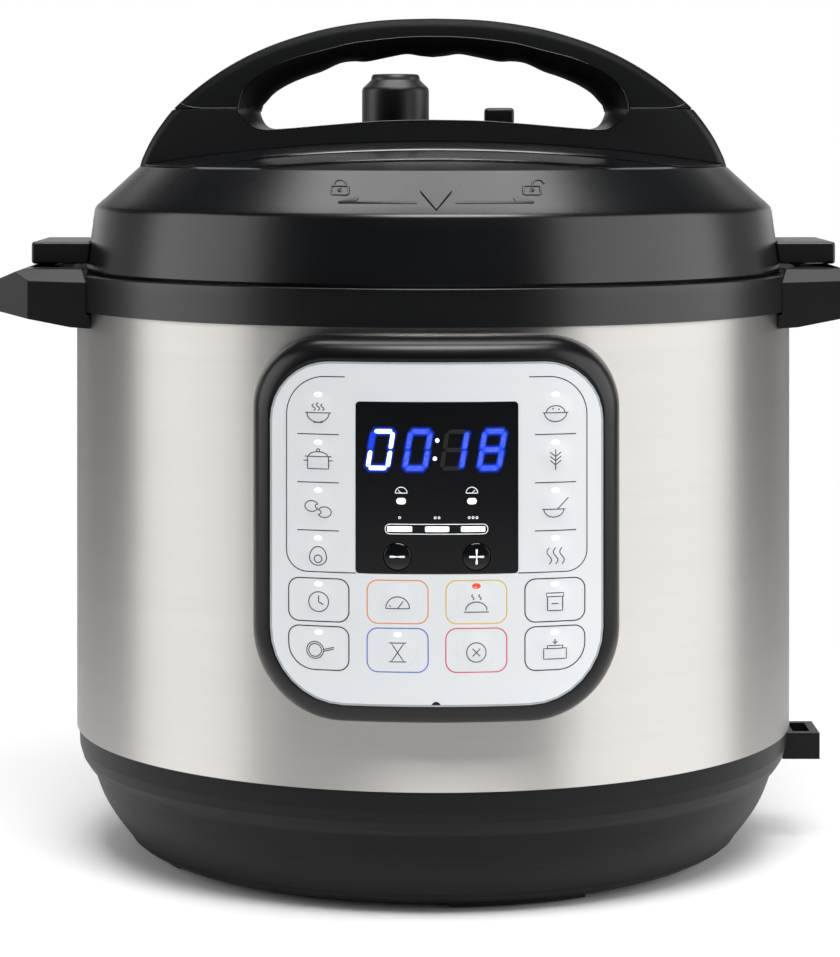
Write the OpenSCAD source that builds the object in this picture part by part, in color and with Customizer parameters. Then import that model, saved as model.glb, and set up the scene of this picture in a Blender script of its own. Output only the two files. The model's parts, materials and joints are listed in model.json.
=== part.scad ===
// Electric pressure cooker: steel body on a plastic base, turn-and-lock lid, control panel.
// +Z is up, the control panel faces -Y, and the floor is z = 0. All sizes are in millimetres.

/* [Body] */
// Outside radius of the steel body
body_r = 137.2; // [135.6:0.2:140]
// Height of the seam between the base and the steel body
seam_z = 47.2; // [45:0.2:50]
// Visible height of the top ring
rim_h = 13.3; // [12.6:0.1:14.4]
// Thickness of the steel sheet
sheet = 0.6; // [0.5:0.1:0.8]
// Thickness of the moulded plastic walls
wall = 2.6; // [2.2:0.1:3]

/* [Side handles] */
// How far each side handle reaches out from the steel body
handle_reach = 32.8; // [29:0.2:38]
// Length of each side handle, from front to back
side_handle_w = 100; // [90:1:108]

/* [Base and feet] */
// How far the underside of the base is set in from the steel body
foot_in = 22.6; // [20:0.2:25]
// From the edge of the underside to the middle of a rubber foot
foot_edge = 15.1; // [14:0.1:16]
// Diameter of a rubber foot
foot_d = 10.4; // [9:0.2:11]
// Angle of the first foot from the +X axis
foot_turn = 16; // [10:1:22]

/* [Inner pot] */
// From the inside wall of the inner pot to the outside of the steel body
pot_gap = 27.2; // [26.2:0.2:29]
// Height of the pot's bottom above the seam of the base
pot_lift = 12.4; // [11:0.2:15]
// Depth of the inner pot, from its flange to its bottom
pot_depth = 155; // [150:1:158]
// Thickness of the inner pot wall
pot_t = 1.0; // [0.8:0.1:1.2]

/* [Lid] */
// How far the lower edge of the lid is set in from the steel body
lid_in = 3.5; // [2.2:0.1:3.8]
// Height of the steep lower wall of the lid
lid_wall_h = 23.7; // [22:0.1:26]
// Width of the sloping shoulder, measured level
shoulder_w = 20.2; // [19:0.2:22]
// Height of the sloping shoulder
shoulder_h = 16.1; // [15:0.1:18]
// Rise of the domed lid top above the shoulder
dome_h = 9.5; // [8:0.1:10.5]

/* [Lid handle] */
// Height of the arched handle above the shoulder
handle_h = 57; // [54:0.5:60]
// Depth of the arched handle, from front to back
handle_d = 34; // [30:1:38]

/* [Control panel] */
// Width of the panel bezel
panel_w = 126.5; // [124:0.5:130]
// Height of the panel bezel
panel_h = 131; // [129:0.5:134]
// From the seam under the top ring down to the middle of the panel
panel_drop = 68.4; // [67.6:0.2:70]
// How far the panel stands out from the steel body
panel_out = 14.4; // [13.6:0.2:15.2]
// Travel of a key
key_travel = 0.8; // [0.5:0.1:0.9]

/* [Accessories] */
// Width of the condensation collector
collector_w = 56; // [54:1:60]
// Depth of the condensation collector, from front to back
collector_d = 17; // [16.4:0.2:19]
// Height of the condensation collector
collector_h = 58; // [50:1:62]

/* [Hidden] */
$fn = 96;

LIMB = ["left", "right"];
SIDE_KEYS = [for (s = LIMB, i = [1:4]) str("key_", s, "_", i)];
LOW_KEYS = [for (r = ["upper", "lower"], i = [1:4]) str("key_", r, "_", i)];
STEP_KEYS = ["key_minus", "key_plus"];

// Body levels and radii, counted up from the pot's bottom and in from the steel body
shell_in = body_r - sheet;
band_r = body_r - 0.9;
ring_r = body_r + 1.6;
pot_r = body_r - pot_gap;
pot_floor_z = seam_z + pot_lift;
pot_flange_z = pot_floor_z + pot_depth;
pot_flange_r = pot_r + 7.2;
rim_top = pot_flange_z + 5.3;
rim_z = rim_top - rim_h;
run = 0.3;
foot_r = body_r - foot_in;
foot_circle_r = foot_r - foot_edge;
stud_r = foot_r - 23.6;

// Lock levels, counted down from the top of the ring
liner_r = pot_r + 3.6;
liner_t = 1.2;
liner_out = liner_r + liner_t;
collar_r = liner_out + 4.7;
lug_r = liner_r + 11;
lug_z = rim_top - 13.1;
lug_h = 2.8;
lug_n = 6;
pot_lug_a = 27;
lid_lug_a = 25;
lid_lug_z = lug_z - lug_h - 0.4;
ring_floor_z = rim_top - 23.9;
plate_top = pot_floor_z - 0.15;
plate_r = pot_r - 25;
// Middle of the power board, under the liner
power_y = -(stud_r - 36);
liner_floor_z = plate_top - 17.45;

// Lid levels and radii
lid_r = body_r - lid_in;
shoulder_r = lid_r - shoulder_w;
lid_z = rim_top + run;
crease_z = lid_z + lid_wall_h;
crease_r = lid_r - 3.5;
shoulder_z = crease_z + shoulder_h;
dome_r = (shoulder_r * shoulder_r + dome_h * dome_h) / (2 * dome_h);
seal_in = pot_r - 2;
seal_out = pot_r + 9;
seal_z = pot_flange_z + run;
seal_h = 10.1;
metal_z = seal_z + seal_h + run;
metal_t = 1.5;
skirt_in = lug_r + 1.2;
skirt_out = skirt_in + 1.5;
fin_x = reach_x(0.47);
fin_z = lid_z + 3.2;
fin_h = 8.4;
fin_w = side_handle_w / 2;
pin_r = seal_in - 9;

// Lid handle
handle_half = shoulder_r;
part_z = shoulder_z + 22.3;
screw_x = handle_half - 29.5;
top_z = shoulder_z + handle_h;
knob_x = -14.6;
knob_y = 45;
float_x = 44;
float_y = 46;

// Panel
face_r = body_r + panel_out;
frame_in = 104;
overlay_w = panel_w - 13.5;
overlay_h = panel_h - 15.4;
panel_z = rim_z - panel_drop;
overlay_z = panel_z - 0.5;
window_w = 54.8;
window_h = 57.8;
window_z = overlay_z + 15.7;
board_y = -(body_r - 10.2);
board_t = 1.6;
key_gap = 0.35;
key_r = 6.3;
key_rise = 0.6;
side_pitch = 16.25;
side_x = 40.3;
low_x = [-40.1, -13.3, 13.3, 40.1];
low_z = [overlay_z - 22.4, overlay_z - 38.8];
step_x = 13.4;
step_z = overlay_z - 7.5;
step_r = 4.5;

function dome(r) = shoulder_z + sqrt(dome_r * dome_r - r * r) - (dome_r - dome_h);
function mix(a, b, t) = a + (b - a) * t;
function reach_x(share) = body_r + handle_reach * share;

// Smooth curve through a list of points
function spline_at(p, i, t) =
    let (a = p[max(i - 1, 0)], b = p[i], c = p[i + 1], d = p[min(i + 2, len(p) - 1)])
    0.5 * (2 * b + (c - a) * t + (2 * a - 5 * b + 4 * c - d) * t * t
        + (3 * b - a - 3 * c + d) * t * t * t);
function spline(p, n) = concat(
    [for (i = [0:len(p) - 2], k = [0:n - 1]) spline_at(p, i, k / n)], [p[len(p) - 1]]);
function flip(p) = [for (i = [len(p) - 1:-1:0]) [-p[i][0], p[i][1]]];

module tube(outer, inner, z0, z1) {
    translate([0, 0, z0]) difference() {
        cylinder(r = outer, h = z1 - z0);
        translate([0, 0, -1]) cylinder(r = inner, h = z1 - z0 + 2);
    }
}

module sector(r0, r1, z0, z1, mid, span) {
    rotate([0, 0, mid - span / 2]) rotate_extrude(angle = span)
        translate([r0, z0]) square([r1 - r0, z1 - z0]);
}

module rounded(w, h, rt, rb) {
    translate([-w / 2 + rt, 0]) square([w - 2 * rt, h / 2]);
    translate([-w / 2 + rb, -h / 2]) square([w - 2 * rb, h / 2]);
    translate([-w / 2, -h / 2 + rb]) square([w, h - rt - rb]);
    for (s = [-1, 1]) {
        translate([s * (w / 2 - rt), h / 2 - rt]) circle(r = rt);
        translate([s * (w / 2 - rb), -h / 2 + rb]) circle(r = rb);
    }
}

// A block seen from the front with the given outline, from y0 to y1
module front_block(x, z, y0, y1) {
    translate([x, y1, z]) rotate([90, 0, 0]) linear_extrude(y1 - y0) children();
}

// The part of that block between two radii of the curved panel
module curved_block(x, z, r0, r1) {
    intersection() {
        tube(r1, r0, z - 80, z + 80);
        front_block(x, z, -r1 - 5, -body_r + 22) children();
    }
}

module at_feet() {
    for (i = [0:3]) rotate([0, 0, foot_turn + 90 * i]) children();
}

// ---------- base ----------

module base_profile() {
    ledge = [band_r - 6.0, seam_z - 17];
    heel = [foot_r + 3.3, 8.2];
    bowl = [for (i = [0:8]) [mix(ledge[0], heel[0], i / 8) + 1.7 * sin(22.5 * i),
        mix(ledge[1], heel[1], i / 8)]];
    band = [[band_r, seam_z], [band_r - 0.3, seam_z - 7], [band_r - 1.5, seam_z - 11],
        [band_r - 3.6, seam_z - 14.2], [band_r - 5.6, seam_z - 16.2]];
    toe = [[foot_r + 2.6, 7.4], [foot_r + 1.9, 6], [foot_r + 0.2, 4.6], [foot_r - 3.4, 2.8],
        [foot_r - 7.6, 1.5], [foot_r - 9, 1.2]];
    inside = [[stud_r + 3, 1.2], [stud_r + 3, 3.3], [stud_r - 3, 3.3], [stud_r - 3, 5.4],
        [foot_r - 1.2, 5.4]];
    lining = [for (i = [8:-1:0]) [bowl[i][0] - wall - 0.4, bowl[i][1] + 1.2]];
    polygon(concat([[shell_in, seam_z + 9], [shell_in, seam_z]], band, bowl, toe, inside, lining,
        [[band_r - wall - 1.4, seam_z - 11], [shell_in - wall, seam_z - 7],
            [shell_in - wall, seam_z + 9]]));
}

spoon_x = body_r + 11.3;

module base_shell() color("#1d2023") difference() {
    union() {
        rotate_extrude() base_profile();
        at_feet() sector(stud_r + 4, foot_r - 6, 0.8, 2.2, 0, 27);
        for (i = [0:3]) rotate([0, 0, 45 + 90 * i]) translate([stud_r, 0, 5.2])
            cylinder(r = 3.4, h = 8);
        // Spoon-holder socket on the right of the band
        difference() {
            translate([body_r - 8, -11.6, seam_z - 14.6]) cube([19.3, 23.2, 10]);
            translate([0, 0, seam_z - 20]) cylinder(r = band_r - 1.6, h = 30);
        }
    }
    // Place of the mains inlet, at the back
    translate([-21, body_r - 40, 9]) cube([42, 60, 32]);
    translate([body_r + 1.4, -8.2, seam_z - 20]) cube([6.6, 16.4, 20]);
    for (i = [0:3]) rotate([0, 0, 45 + 90 * i]) translate([stud_r, 0, 3]) cylinder(r = 1.5, h = 8);
    at_feet() translate([foot_circle_r, 0, 0.5]) cylinder(d = foot_d, h = 2.5);
}

module bottom_plate() color("#8f9396") difference() {
    union() {
        translate([0, 0, 1.9]) cylinder(r = stud_r + 2, h = 1.4);
        for (x = [-42, 42], y = [power_y - 17, power_y + 17]) translate([x, y, 3]) cylinder(r = 3, h = 11);
    }
    for (i = [0:3]) rotate([0, 0, 45 + 90 * i]) translate([stud_r, 0, 1]) cylinder(r = 1.5, h = 3);
    for (i = [0:9]) translate([-56 + 12 * i, 6, 1]) cube([3, 44, 3]);
}

module rubber_feet() color("#26282a") at_feet() translate([foot_circle_r, 0, 0])
    cylinder(d = foot_d, h = 3);

// ---------- steel body and top ring ----------

module outer_shell() color("#c5bfb8") difference() {
    tube(body_r, shell_in, seam_z + 0.2, rim_z + 6);
    front_block(0, overlay_z, -body_r - 5, -body_r + 30) rounded(frame_in + 2, frame_in + 4, 4, 4);
}

module side_handle_plan() {
    w = side_handle_w / 2;
    x0 = body_r - 14;
    polygon([[x0, -w - 1], [reach_x(0.42), -w], [reach_x(0.82), -w * 0.8],
        [reach_x(0.97), -w * 0.45], [reach_x(1), 0], [reach_x(0.97), w * 0.45],
        [reach_x(0.82), w * 0.8], [reach_x(0.42), w], [x0, w + 1]]);
}

module side_handle_front() {
    polygon([[body_r - 14, rim_z - 6.5], [body_r - 2, rim_z - 5.6], [reach_x(0.835), rim_z + 0.1],
        [reach_x(1), rim_z + 2], [reach_x(1), rim_z + 8.6], [reach_x(0.94), rim_z + 9.8],
        [reach_x(0.573), rim_top + 1.6], [reach_x(0.482), rim_top + 2.4],
        [body_r - 14, rim_top + 2.4]]);
}

module side_handle_end() {
    w = side_handle_w / 2 + 2;
    polygon([[-w, rim_z - 8], [w, rim_z - 8], [w, rim_top - 3.2], [w - 7.4, rim_top + 2.4],
        [-w + 7.4, rim_top + 2.4], [-w, rim_top - 3.2]]);
}

slot_x = [reach_x(0.134), fin_x + 0.2];

module side_handle() difference() {
    intersection() {
        translate([0, 0, rim_z - 10]) linear_extrude(40) side_handle_plan();
        translate([0, 60, 0]) rotate([90, 0, 0]) linear_extrude(120) side_handle_front();
        translate([body_r - 15, 0, 0]) rotate([90, 0, 90]) linear_extrude(60) side_handle_end();
    }
    // Finger space from below
    translate([reach_x(0.122), -side_handle_w / 2 + 9, rim_z - 10])
        cube([handle_reach * 0.558, side_handle_w - 18, 24]);
    // Slot that holds the lid on edge by its fin
    translate([slot_x[0], -fin_w / 2 - 1.5, rim_z]) cube([slot_x[1] - slot_x[0], fin_w + 3, 30]);
    translate([0, 0, rim_z - 12]) cylinder(r = body_r + 0.2, h = 12.2);
    translate([0, 0, rim_z - 1]) cylinder(r = ring_r, h = 40);
}

module side_handles() color("#202325") {
    side_handle();
    mirror([1, 0, 0]) side_handle();
}

spout_y = body_r + 13;

module top_ring() color("#202325") difference() {
    union() {
        rotate_extrude() polygon([[ring_r, rim_z], [ring_r, rim_top - 2.4],
            [ring_r - 1.2, rim_top - 0.7], [ring_r - 3, rim_top], [skirt_out + 1.9, rim_top],
            [skirt_out + 1.9, rim_top - 2.6], [shell_in - 3.2, rim_top - 2.6],
            [shell_in - 3.2, ring_floor_z + 2.4], [liner_out, ring_floor_z + 2.4],
            [liner_out, ring_floor_z], [shell_in, ring_floor_z], [shell_in, rim_z + 6],
            [body_r, rim_z + 6], [body_r, rim_z]]);
        // Spout and rails for the condensation collector
        difference() {
            union() {
                translate([-18, body_r - 4, rim_z + 0.2]) cube([36, 17, 7]);
                translate([-25, body_r + 2.4, rim_z - 2.8]) cube([50, 10.6, 3]);
            }
            translate([0, 0, rim_z - 1]) cylinder(r = body_r + 0.6, h = 12);
        }
    }
    // Drain from the channel, out and down through the spout
    translate([0, shell_in - 6, rim_z + 3.5]) rotate([-90, 0, 0]) cylinder(r = 1.8, h = 15.5);
    translate([0, body_r + 7.4, rim_z - 4]) cylinder(r = 1.8, h = 7.5);
    for (i = [0:2]) rotate([0, 0, 30 + 120 * i]) translate([liner_out + 3, 0, ring_floor_z - 1])
        cylinder(r = 1.4, h = 5);
}

module case_screws() color("#9a9da0") {
    // Behind the panel
    at_posts() {
        translate([0, 0, -board_t]) cylinder(r = 1.2, h = board_t + 7);
        translate([0, 0, -board_t - 1.6]) cylinder(r = 2.4, h = 1.6);
    }
    for (i = [0:3]) rotate([0, 0, 45 + 90 * i]) translate([stud_r, 0, 0]) {
        translate([0, 0, 1.1]) cylinder(r = 1.95, h = 0.8);
        translate([0, 0, 1.5]) cylinder(r = 1.5, h = 9.5);
    }
    for (i = [0:2]) rotate([0, 0, 30 + 120 * i]) translate([liner_out + 3, 0, 0]) {
        translate([0, 0, ring_floor_z - 3]) cylinder(r = 1.4, h = 6.6);
        translate([0, 0, ring_floor_z + 3.6]) cylinder(r = 1.7, h = 1.4);
    }
}

module outer_pot() color("#b9bcbe") difference() {
    union() {
        rotate_extrude() polygon([[42, liner_floor_z], [liner_out - 9, liner_floor_z],
            [liner_out - 3, liner_floor_z + 3], [liner_out, liner_floor_z + 10],
            [liner_out, ring_floor_z + 2.4], [collar_r - 0.4, ring_floor_z + 2.4],
            [collar_r - 0.4, ring_floor_z + 3.6], [liner_out, ring_floor_z + 3.6],
            [liner_out, lug_z], [collar_r, lug_z], [collar_r, lug_z + lug_h],
            [liner_out, lug_z + lug_h], [liner_out, pot_flange_z - 1.6],
            [liner_r, pot_flange_z - 1.6], [liner_r, liner_floor_z + 10],
            [liner_out - 4.2, liner_floor_z + 4.2], [liner_out - 9.6, liner_floor_z + liner_t],
            [42, liner_floor_z + liner_t]]);
        for (i = [0:lug_n - 1])
            sector(collar_r - 1, lug_r, lug_z, lug_z + lug_h, 60 * i + 8, pot_lug_a);
    }
    for (i = [0:2]) rotate([0, 0, 30 + 120 * i]) translate([liner_out + 3, 0, ring_floor_z + 1])
        cylinder(r = 1.4, h = 5);
    for (i = [0:2]) rotate([0, 0, 90 + 120 * i]) translate([plate_r - 9, 0, liner_floor_z - 1])
        cylinder(r = 2, h = 3);
    for (a = [-12, 12]) rotate([0, 0, a]) translate([plate_r - 24, 0, liner_floor_z - 1])
        cylinder(r = 1.9, h = 3);
}

// ---------- heating and sensing ----------

module heating_plate() color("#a9adb0") difference() {
    union() {
        translate([0, 0, plate_top - 8]) cylinder(r = plate_r, h = 8);
        tube(plate_r - 18, plate_r - 30, plate_top - 14.4, plate_top - 7.5);
    }
    translate([0, 0, plate_top - 20]) cylinder(r = 18, h = 30);
    for (i = [0:2]) rotate([0, 0, 90 + 120 * i]) translate([plate_r - 9, 0, plate_top - 9])
        cylinder(r = 2, h = 6);
}

module plate_studs() color("#9fa2a4") for (i = [0:2]) rotate([0, 0, 90 + 120 * i])
    translate([plate_r - 9, 0, 0]) {
        translate([0, 0, liner_floor_z + liner_t]) cylinder(r = 5, h = 8.25);
        translate([0, 0, liner_floor_z - 5]) cylinder(r = 2, h = 16);
        translate([0, 0, liner_floor_z - 4]) cylinder(r = 4, h = 4, $fn = 6);
    }

module element_terminals() color("#d8d4c8") for (a = [-12, 12]) rotate([0, 0, a])
    translate([plate_r - 24, 0, 0]) {
        translate([0, 0, plate_top - 26.4]) cylinder(r = 1.6, h = 12);
        translate([0, 0, liner_floor_z - 3]) cylinder(r = 3.4, h = 3);
    }

module sensor_cup() color("#a3a6a8") {
    tube(23.5, 20.6, plate_top - 26, plate_top - 9.4);
    tube(23.5, 18.4, plate_top - 9.4, plate_top - 8);
    difference() {
        translate([0, 0, plate_top - 28]) cylinder(r = 23.5, h = 2);
        translate([0, 0, plate_top - 30]) cylinder(r = 4, h = 6);
    }
}

module temperature_sensor() color("#c9ccce") difference() {
    union() {
        translate([0, 0, plate_top - 16]) cylinder(r = 17.6, h = 16);
        translate([0, 0, plate_top - 18]) cylinder(r = 20.1, h = 2.4);
    }
    translate([0, 0, plate_top - 19]) cylinder(r = 16, h = 17.4);
}

// Coil of round wire between two heights
module coil(r, wire, z0, z1, turns) {
    steps = 20 * turns;
    sides = 8;
    ring = [for (i = [0:steps], k = [0:sides - 1]) let (a = 18 * i, b = 45 * k)
        [(r + wire * cos(b)) * cos(a), (r + wire * cos(b)) * sin(a),
            mix(z0 + wire, z1 - wire, i / steps) + wire * sin(b)]];
    walls = [for (i = [0:steps - 1], k = [0:sides - 1], h = [0:1])
        let (p = i * sides + k, q = i * sides + (k + 1) % sides)
        h == 0 ? [p, q, p + sides] : [q, q + sides, p + sides]];
    caps = [for (k = [1:sides - 2], h = [0:1]) let (e = steps * sides)
        h == 0 ? [0, k + 1, k] : [e, e + k, e + k + 1]];
    polyhedron(points = ring, faces = [for (f = concat(walls, caps)) [f[0], f[2], f[1]]]);
}

module sensor_spring() color("#b0b3b5")
    coil(13, 0.9, plate_top - 25.9, plate_top - 1.7, 5);

module pressure_switch() color("#3a3d40") translate([-76, 0, 0]) {
    translate([0, 0, liner_floor_z - 9]) cylinder(r = 9, h = 8.9);
    translate([-7, -5, liner_floor_z - 17]) cube([14, 10, 8.1]);
    for (y = [-3.4, 3.4]) translate([-3, y - 0.4, liner_floor_z - 23]) cube([6, 0.8, 6.1]);
}

module thermal_fuse() color("#d9d6cc") translate([52, 40, liner_floor_z - 5.2]) {
    rotate([0, 90, 0]) cylinder(r = 2.6, h = 22, center = true);
    for (s = [-1, 1]) translate([s * 8, 0, 2.5]) cube([2, 2, 5.2], center = true);
}

module power_board() color("#2f5d46") translate([0, power_y, 0]) {
    difference() {
        translate([-50, -24, 14]) cube([100, 46, 1.6]);
        for (x = [-42, 42], y = [-17, 17]) translate([x, y, 13]) cylinder(r = 1.5, h = 4);
    }
    translate([-40, -13, 15.4]) cube([24, 20, 16]);
    translate([-10, -15, 15.4]) cube([16, 12, 12]);
    translate([22, -5, 15.4]) cylinder(r = 7, h = 16);
    translate([34, -5, 15.4]) cube([4, 22, 14]);
    for (i = [0:3]) translate([-8 + 7 * i, 11, 15.4]) cube([5, 6, 7]);
}

module inlet_socket() color("#17191b") difference() {
    union() {
        translate([-21, body_r - 17, 9]) cube([42, 18, 32]);
        translate([-18.6, body_r - 27, 11.4]) cube([37.2, 11, 27.2]);
    }
    translate([-12.4, body_r - 14.4, 16.6]) cube([24.8, 20, 16.8]);
    for (x = [-7, 0, 7]) translate([x - 1, body_r - 28, x == 0 ? 25.5 : 21.5]) cube([2, 20, 4]);
}

module inlet_pins() color("#c7b98a") for (x = [-7, 0, 7])
    translate([x - 1, body_r - 30, x == 0 ? 25.5 : 21.5]) cube([2, 26.6, 4]);

// ---------- control panel ----------

// Screw posts behind the corners of the panel, from the control board forward
post = 47.6;
module at_posts() {
    for (x = [-1, 1], z = [-1, 1]) translate([x * post, board_y, overlay_z + z * post])
        rotate([90, 0, 0]) children();
}

module panel_bezel() color("#191b1d") difference() {
    union() {
        curved_block(0, panel_z, body_r, face_r - 6) rounded(panel_w, panel_h, 25, 31);
        curved_block(0, overlay_z, face_r - 6.5, face_r - 1)
            rounded(overlay_w + 6, overlay_h + 6, 22, 27);
        // Posts for the control board
        at_posts() cylinder(r = 4.4, h = 8);
    }
    difference() {
        front_block(0, overlay_z, -body_r - 30, -body_r + 20)
            rounded(frame_in, frame_in + 2, 10, 15);
        at_posts() cylinder(r = 4.4, h = 8);
    }
    curved_block(0, overlay_z, face_r - 1.8, face_r + 4)
        rounded(overlay_w + 0.6, overlay_h + 0.6, 20.3, 25.3);
    at_posts() translate([0, 0, -1]) cylinder(r = 1.2, h = 9);
}

module panel_overlay() color("#d8dbde") difference() {
    curved_block(0, overlay_z, face_r - 1.8, face_r) rounded(overlay_w, overlay_h, 20, 25);
    front_block(0, window_z, -face_r - 5, -face_r + 30)
        rounded(window_w + 0.4, window_h + 0.4, 1.4, 1.4);
    for (i = [0:3], s = [-1, 1]) key_hole(s * side_x, side_key_z(i), key_r);
    for (i = [0:3], z = low_z) key_hole(low_x[i], z, key_r);
}

function side_key_z(i) = overlay_z + 41.9 - side_pitch * i;

// Puts a key on the curved face, with its own axis square to the face
module on_face(x, z) {
    translate([0, 0, z]) rotate([0, 0, asin(x / face_r)]) translate([0, -face_r, 0])
        rotate([90, 0, 0]) children();
}

module key_hole(x, z, r) {
    on_face(x, z) translate([0, 0, -6]) cylinder(r = r + key_gap, h = 12);
}

// Domed round key
module key_dome(x, z, r, rise) {
    on_face(x, z) rotate_extrude() polygon(concat([[0, -2.2], [r, -2.2], [r, -0.1]],
        [for (i = [8:-1:0]) [(r - 0.15) * i / 8, rise * (1 - pow(i / 8, 2))]]));
}

module key_cap(x, z) color("#d8dbde") key_dome(x, z, key_r, key_rise);

// Round key in the display window, for less or more
module step_key(x) color("#121416") key_dome(x, step_z, step_r, 0.5);

module display_window() color("#0c0d0f") difference() {
    curved_block(0, window_z, face_r - 1.6, face_r + 0.1) rounded(window_w, window_h, 1.2, 1.2);
    for (s = [-1, 1]) key_hole(s * step_x, step_z, step_r);
}

module display_module() color("#14181c") {
    translate([-24, -(face_r - 5.2), window_z + 1]) cube([48, 5, 24]);
    translate([-22, -(face_r - 10.1), window_z + 3]) cube([44, face_r - 10.1 + board_y, 20]);
}

// How far from the axis a pin behind a key or the window may reach
function behind(x, gap) = sqrt(pow(face_r - 2.2, 2) - pow(abs(x) + 2, 2)) - gap;

// A pin that stands off the control board, toward the front
module board_pin(x, z, r, gap) {
    translate([x, board_y + 0.2, z]) rotate([90, 0, 0])
        cylinder(r = r, h = behind(x, gap) + board_y + 0.2);
}

module indicator_lamps() color("#e8e4d6") {
    for (s = [-1, 1]) lamp(s * 12, window_z - 4.6, 1.5, 0.6);
    for (s = [-1, 1], i = [0:3]) lamp(s * side_x, side_key_z(i) + 4.8, 1.2, key_travel + 0.6);
    lamp(low_x[2], low_z[0] + 5, 1.2, key_travel + 0.6);
}

module lamp(x, z, r, gap) {
    translate([x, board_y, z]) rotate([90, 0, 0]) cylinder(r = r, h = behind(x, gap) + board_y);
}

module control_board() color("#2f5d46") {
    difference() {
        translate([-50, board_y, overlay_z - 50]) cube([100, board_t, 100]);
        at_posts() translate([0, 0, -4]) cylinder(r = 1.2, h = 8);
    }
    // Switch plungers, each ending just behind its key
    for (i = [0:3], s = [-1, 1]) board_pin(s * side_x, side_key_z(i), 2, key_travel + 0.6);
    for (i = [0:3], z = low_z) board_pin(low_x[i], z, 2, key_travel + 0.6);
    for (s = [-1, 1]) board_pin(s * step_x, step_z, 2, key_travel + 0.6);
    translate([-12, board_y + board_t - 0.2, overlay_z - 20]) cube([24, 3, 16]);
}

// ---------- pot ----------

module inner_pot() color("#c9cbcc") rotate_extrude() {
    o = pot_r + pot_t;
    z = pot_floor_z;
    bend = 16;
    outside = [for (i = [0:6]) [o - bend + bend * sin(15 * i), z + bend - bend * cos(15 * i)]];
    inside = [for (i = [6:-1:0]) [pot_r - bend + bend * sin(15 * i),
        z + pot_t + bend - bend * cos(15 * i)]];
    polygon(concat([[0, z]], outside, [[o, pot_flange_z - 1.3], [pot_flange_r - 0.6, pot_flange_z - 1.3],
        [pot_flange_r, pot_flange_z - 0.7], [pot_flange_r - 0.6, pot_flange_z],
        [pot_r, pot_flange_z]], inside, [[0, z + pot_t]]));
}

// ---------- lid ----------

// Ball whose cap is the lid top
module dome_ball(sink) translate([0, 0, shoulder_z + dome_h - dome_r]) sphere(r = dome_r - sink, $fn = 256);

// Solid inside the lid surface, or inside its inner face
module lid_solid(sink, low = 0) {
    slope = (shoulder_z - crease_z - 3) / (crease_r - 2.4 - shoulder_r);
    intersection() {
        rotate_extrude() polygon([[0, lid_z - low], [lid_r - 0.4 - sink, lid_z - low],
            [lid_r - 0.4 - sink, lid_z], [lid_r - sink, lid_z + 1],
            [crease_r + 0.3 - sink, crease_z - 1], [crease_r - 0.5 - sink, crease_z + 1 - sink * 0.4],
            [crease_r - 2.4 - sink * 0.9, crease_z + 3 - sink * 0.6],
            [0, crease_z + 3 - sink * 1.4 + slope * (crease_r - 2.4)]]);
        dome_ball(sink);
    }
}

module lid_cover() color("#202325") difference() {
    union() {
        difference() {
            lid_solid(0);
            lid_solid(wall, 5);
        }
        // Bosses that carry the metal lid, under the handle feet
        for (a = [-1, 1]) translate([a * screw_x, 0, metal_z + metal_t])
            cylinder(r = 6, h = dome(screw_x) - 1 - metal_z - metal_t);
    }
    for (a = [-1, 1]) translate([a * screw_x, 0, metal_z - 2]) cylinder(r = 2, h = 60);
    translate([knob_x, knob_y, shoulder_z - 8]) cylinder(r = 9, h = 30);
    translate([float_x, float_y, shoulder_z - 8]) cylinder(r = 5, h = 30);
}

module lid_fins() color("#202325") for (s = [0, 180]) rotate([0, 0, s]) difference() {
    translate([lid_r - 8, -fin_w / 2, fin_z]) cube([fin_x - lid_r + 8, fin_w, fin_h]);
    lid_solid(0);
}

// Half outline of the arched handle, as shares of its half length and height
HANDLE = [[0, 1], [0.177, 0.987], [0.354, 0.935], [0.5, 0.853], [0.602, 0.772], [0.681, 0.69],
    [0.745, 0.609], [0.8, 0.528], [0.847, 0.447], [0.888, 0.367], [0.946, 0.205], [0.985, 0.045],
    [0.992, -0.03]];
// Underside of the grip, with its finger scallops, in millimetres from the middle and the top
SCALLOP = [[0, -14.6], [5, -14.1], [10.3, -13.4], [17, -14.6], [25.6, -16.3], [30.5, -16.2],
    [36, -17], [43, -20.2], [49, -22.2], [55.8, -25.1], [61, -28.3], [64, -31.4], [66.6, -34.7]];
// Lower edge of the opening
SILL = [[66.6, -34.7], [66.2, -38], [64, -41.4], [60, -42.5], [54, -42.2], [35.5, -40.6],
    [18, -39.4], [0, -39]];

// The same two edges on the front and back faces, where the opening flares out
TOP_FLARE = [[0, -7.1], [5.5, -7.1], [11.5, -7.4], [18.5, -8], [27, -9], [33, -10], [39.5, -11.7],
    [47.5, -13.7], [54.5, -15.7], [61.7, -18.6], [67.6, -22.4], [72.5, -27.5], [74.6, -34.7]];
SILL_FLARE = [[74.6, -34.7], [73, -38], [69.5, -40.9], [65.3, -42.6], [57, -42.4], [37, -40.7],
    [19, -39.4], [0, -39]];

function handle_outline(inset) = [for (p = spline(HANDLE, 3))
    [p[0] * (handle_half - inset), shoulder_z + p[1] * (handle_h - inset)]];
// Half outline of the opening: flare 0 in the middle of the grip, 1 on its faces
function window_half(flare) = concat(
    [for (i = [0:len(SCALLOP) - 1]) mix(SCALLOP[i], TOP_FLARE[i], flare)],
    [for (i = [1:len(SILL) - 1]) mix(SILL[i], SILL_FLARE[i], flare)]);

module handle_face(inset = 0) {
    p = handle_outline(inset);
    polygon(concat(flip(p), [for (i = [1:len(p) - 1]) p[i]]));
}

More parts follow.
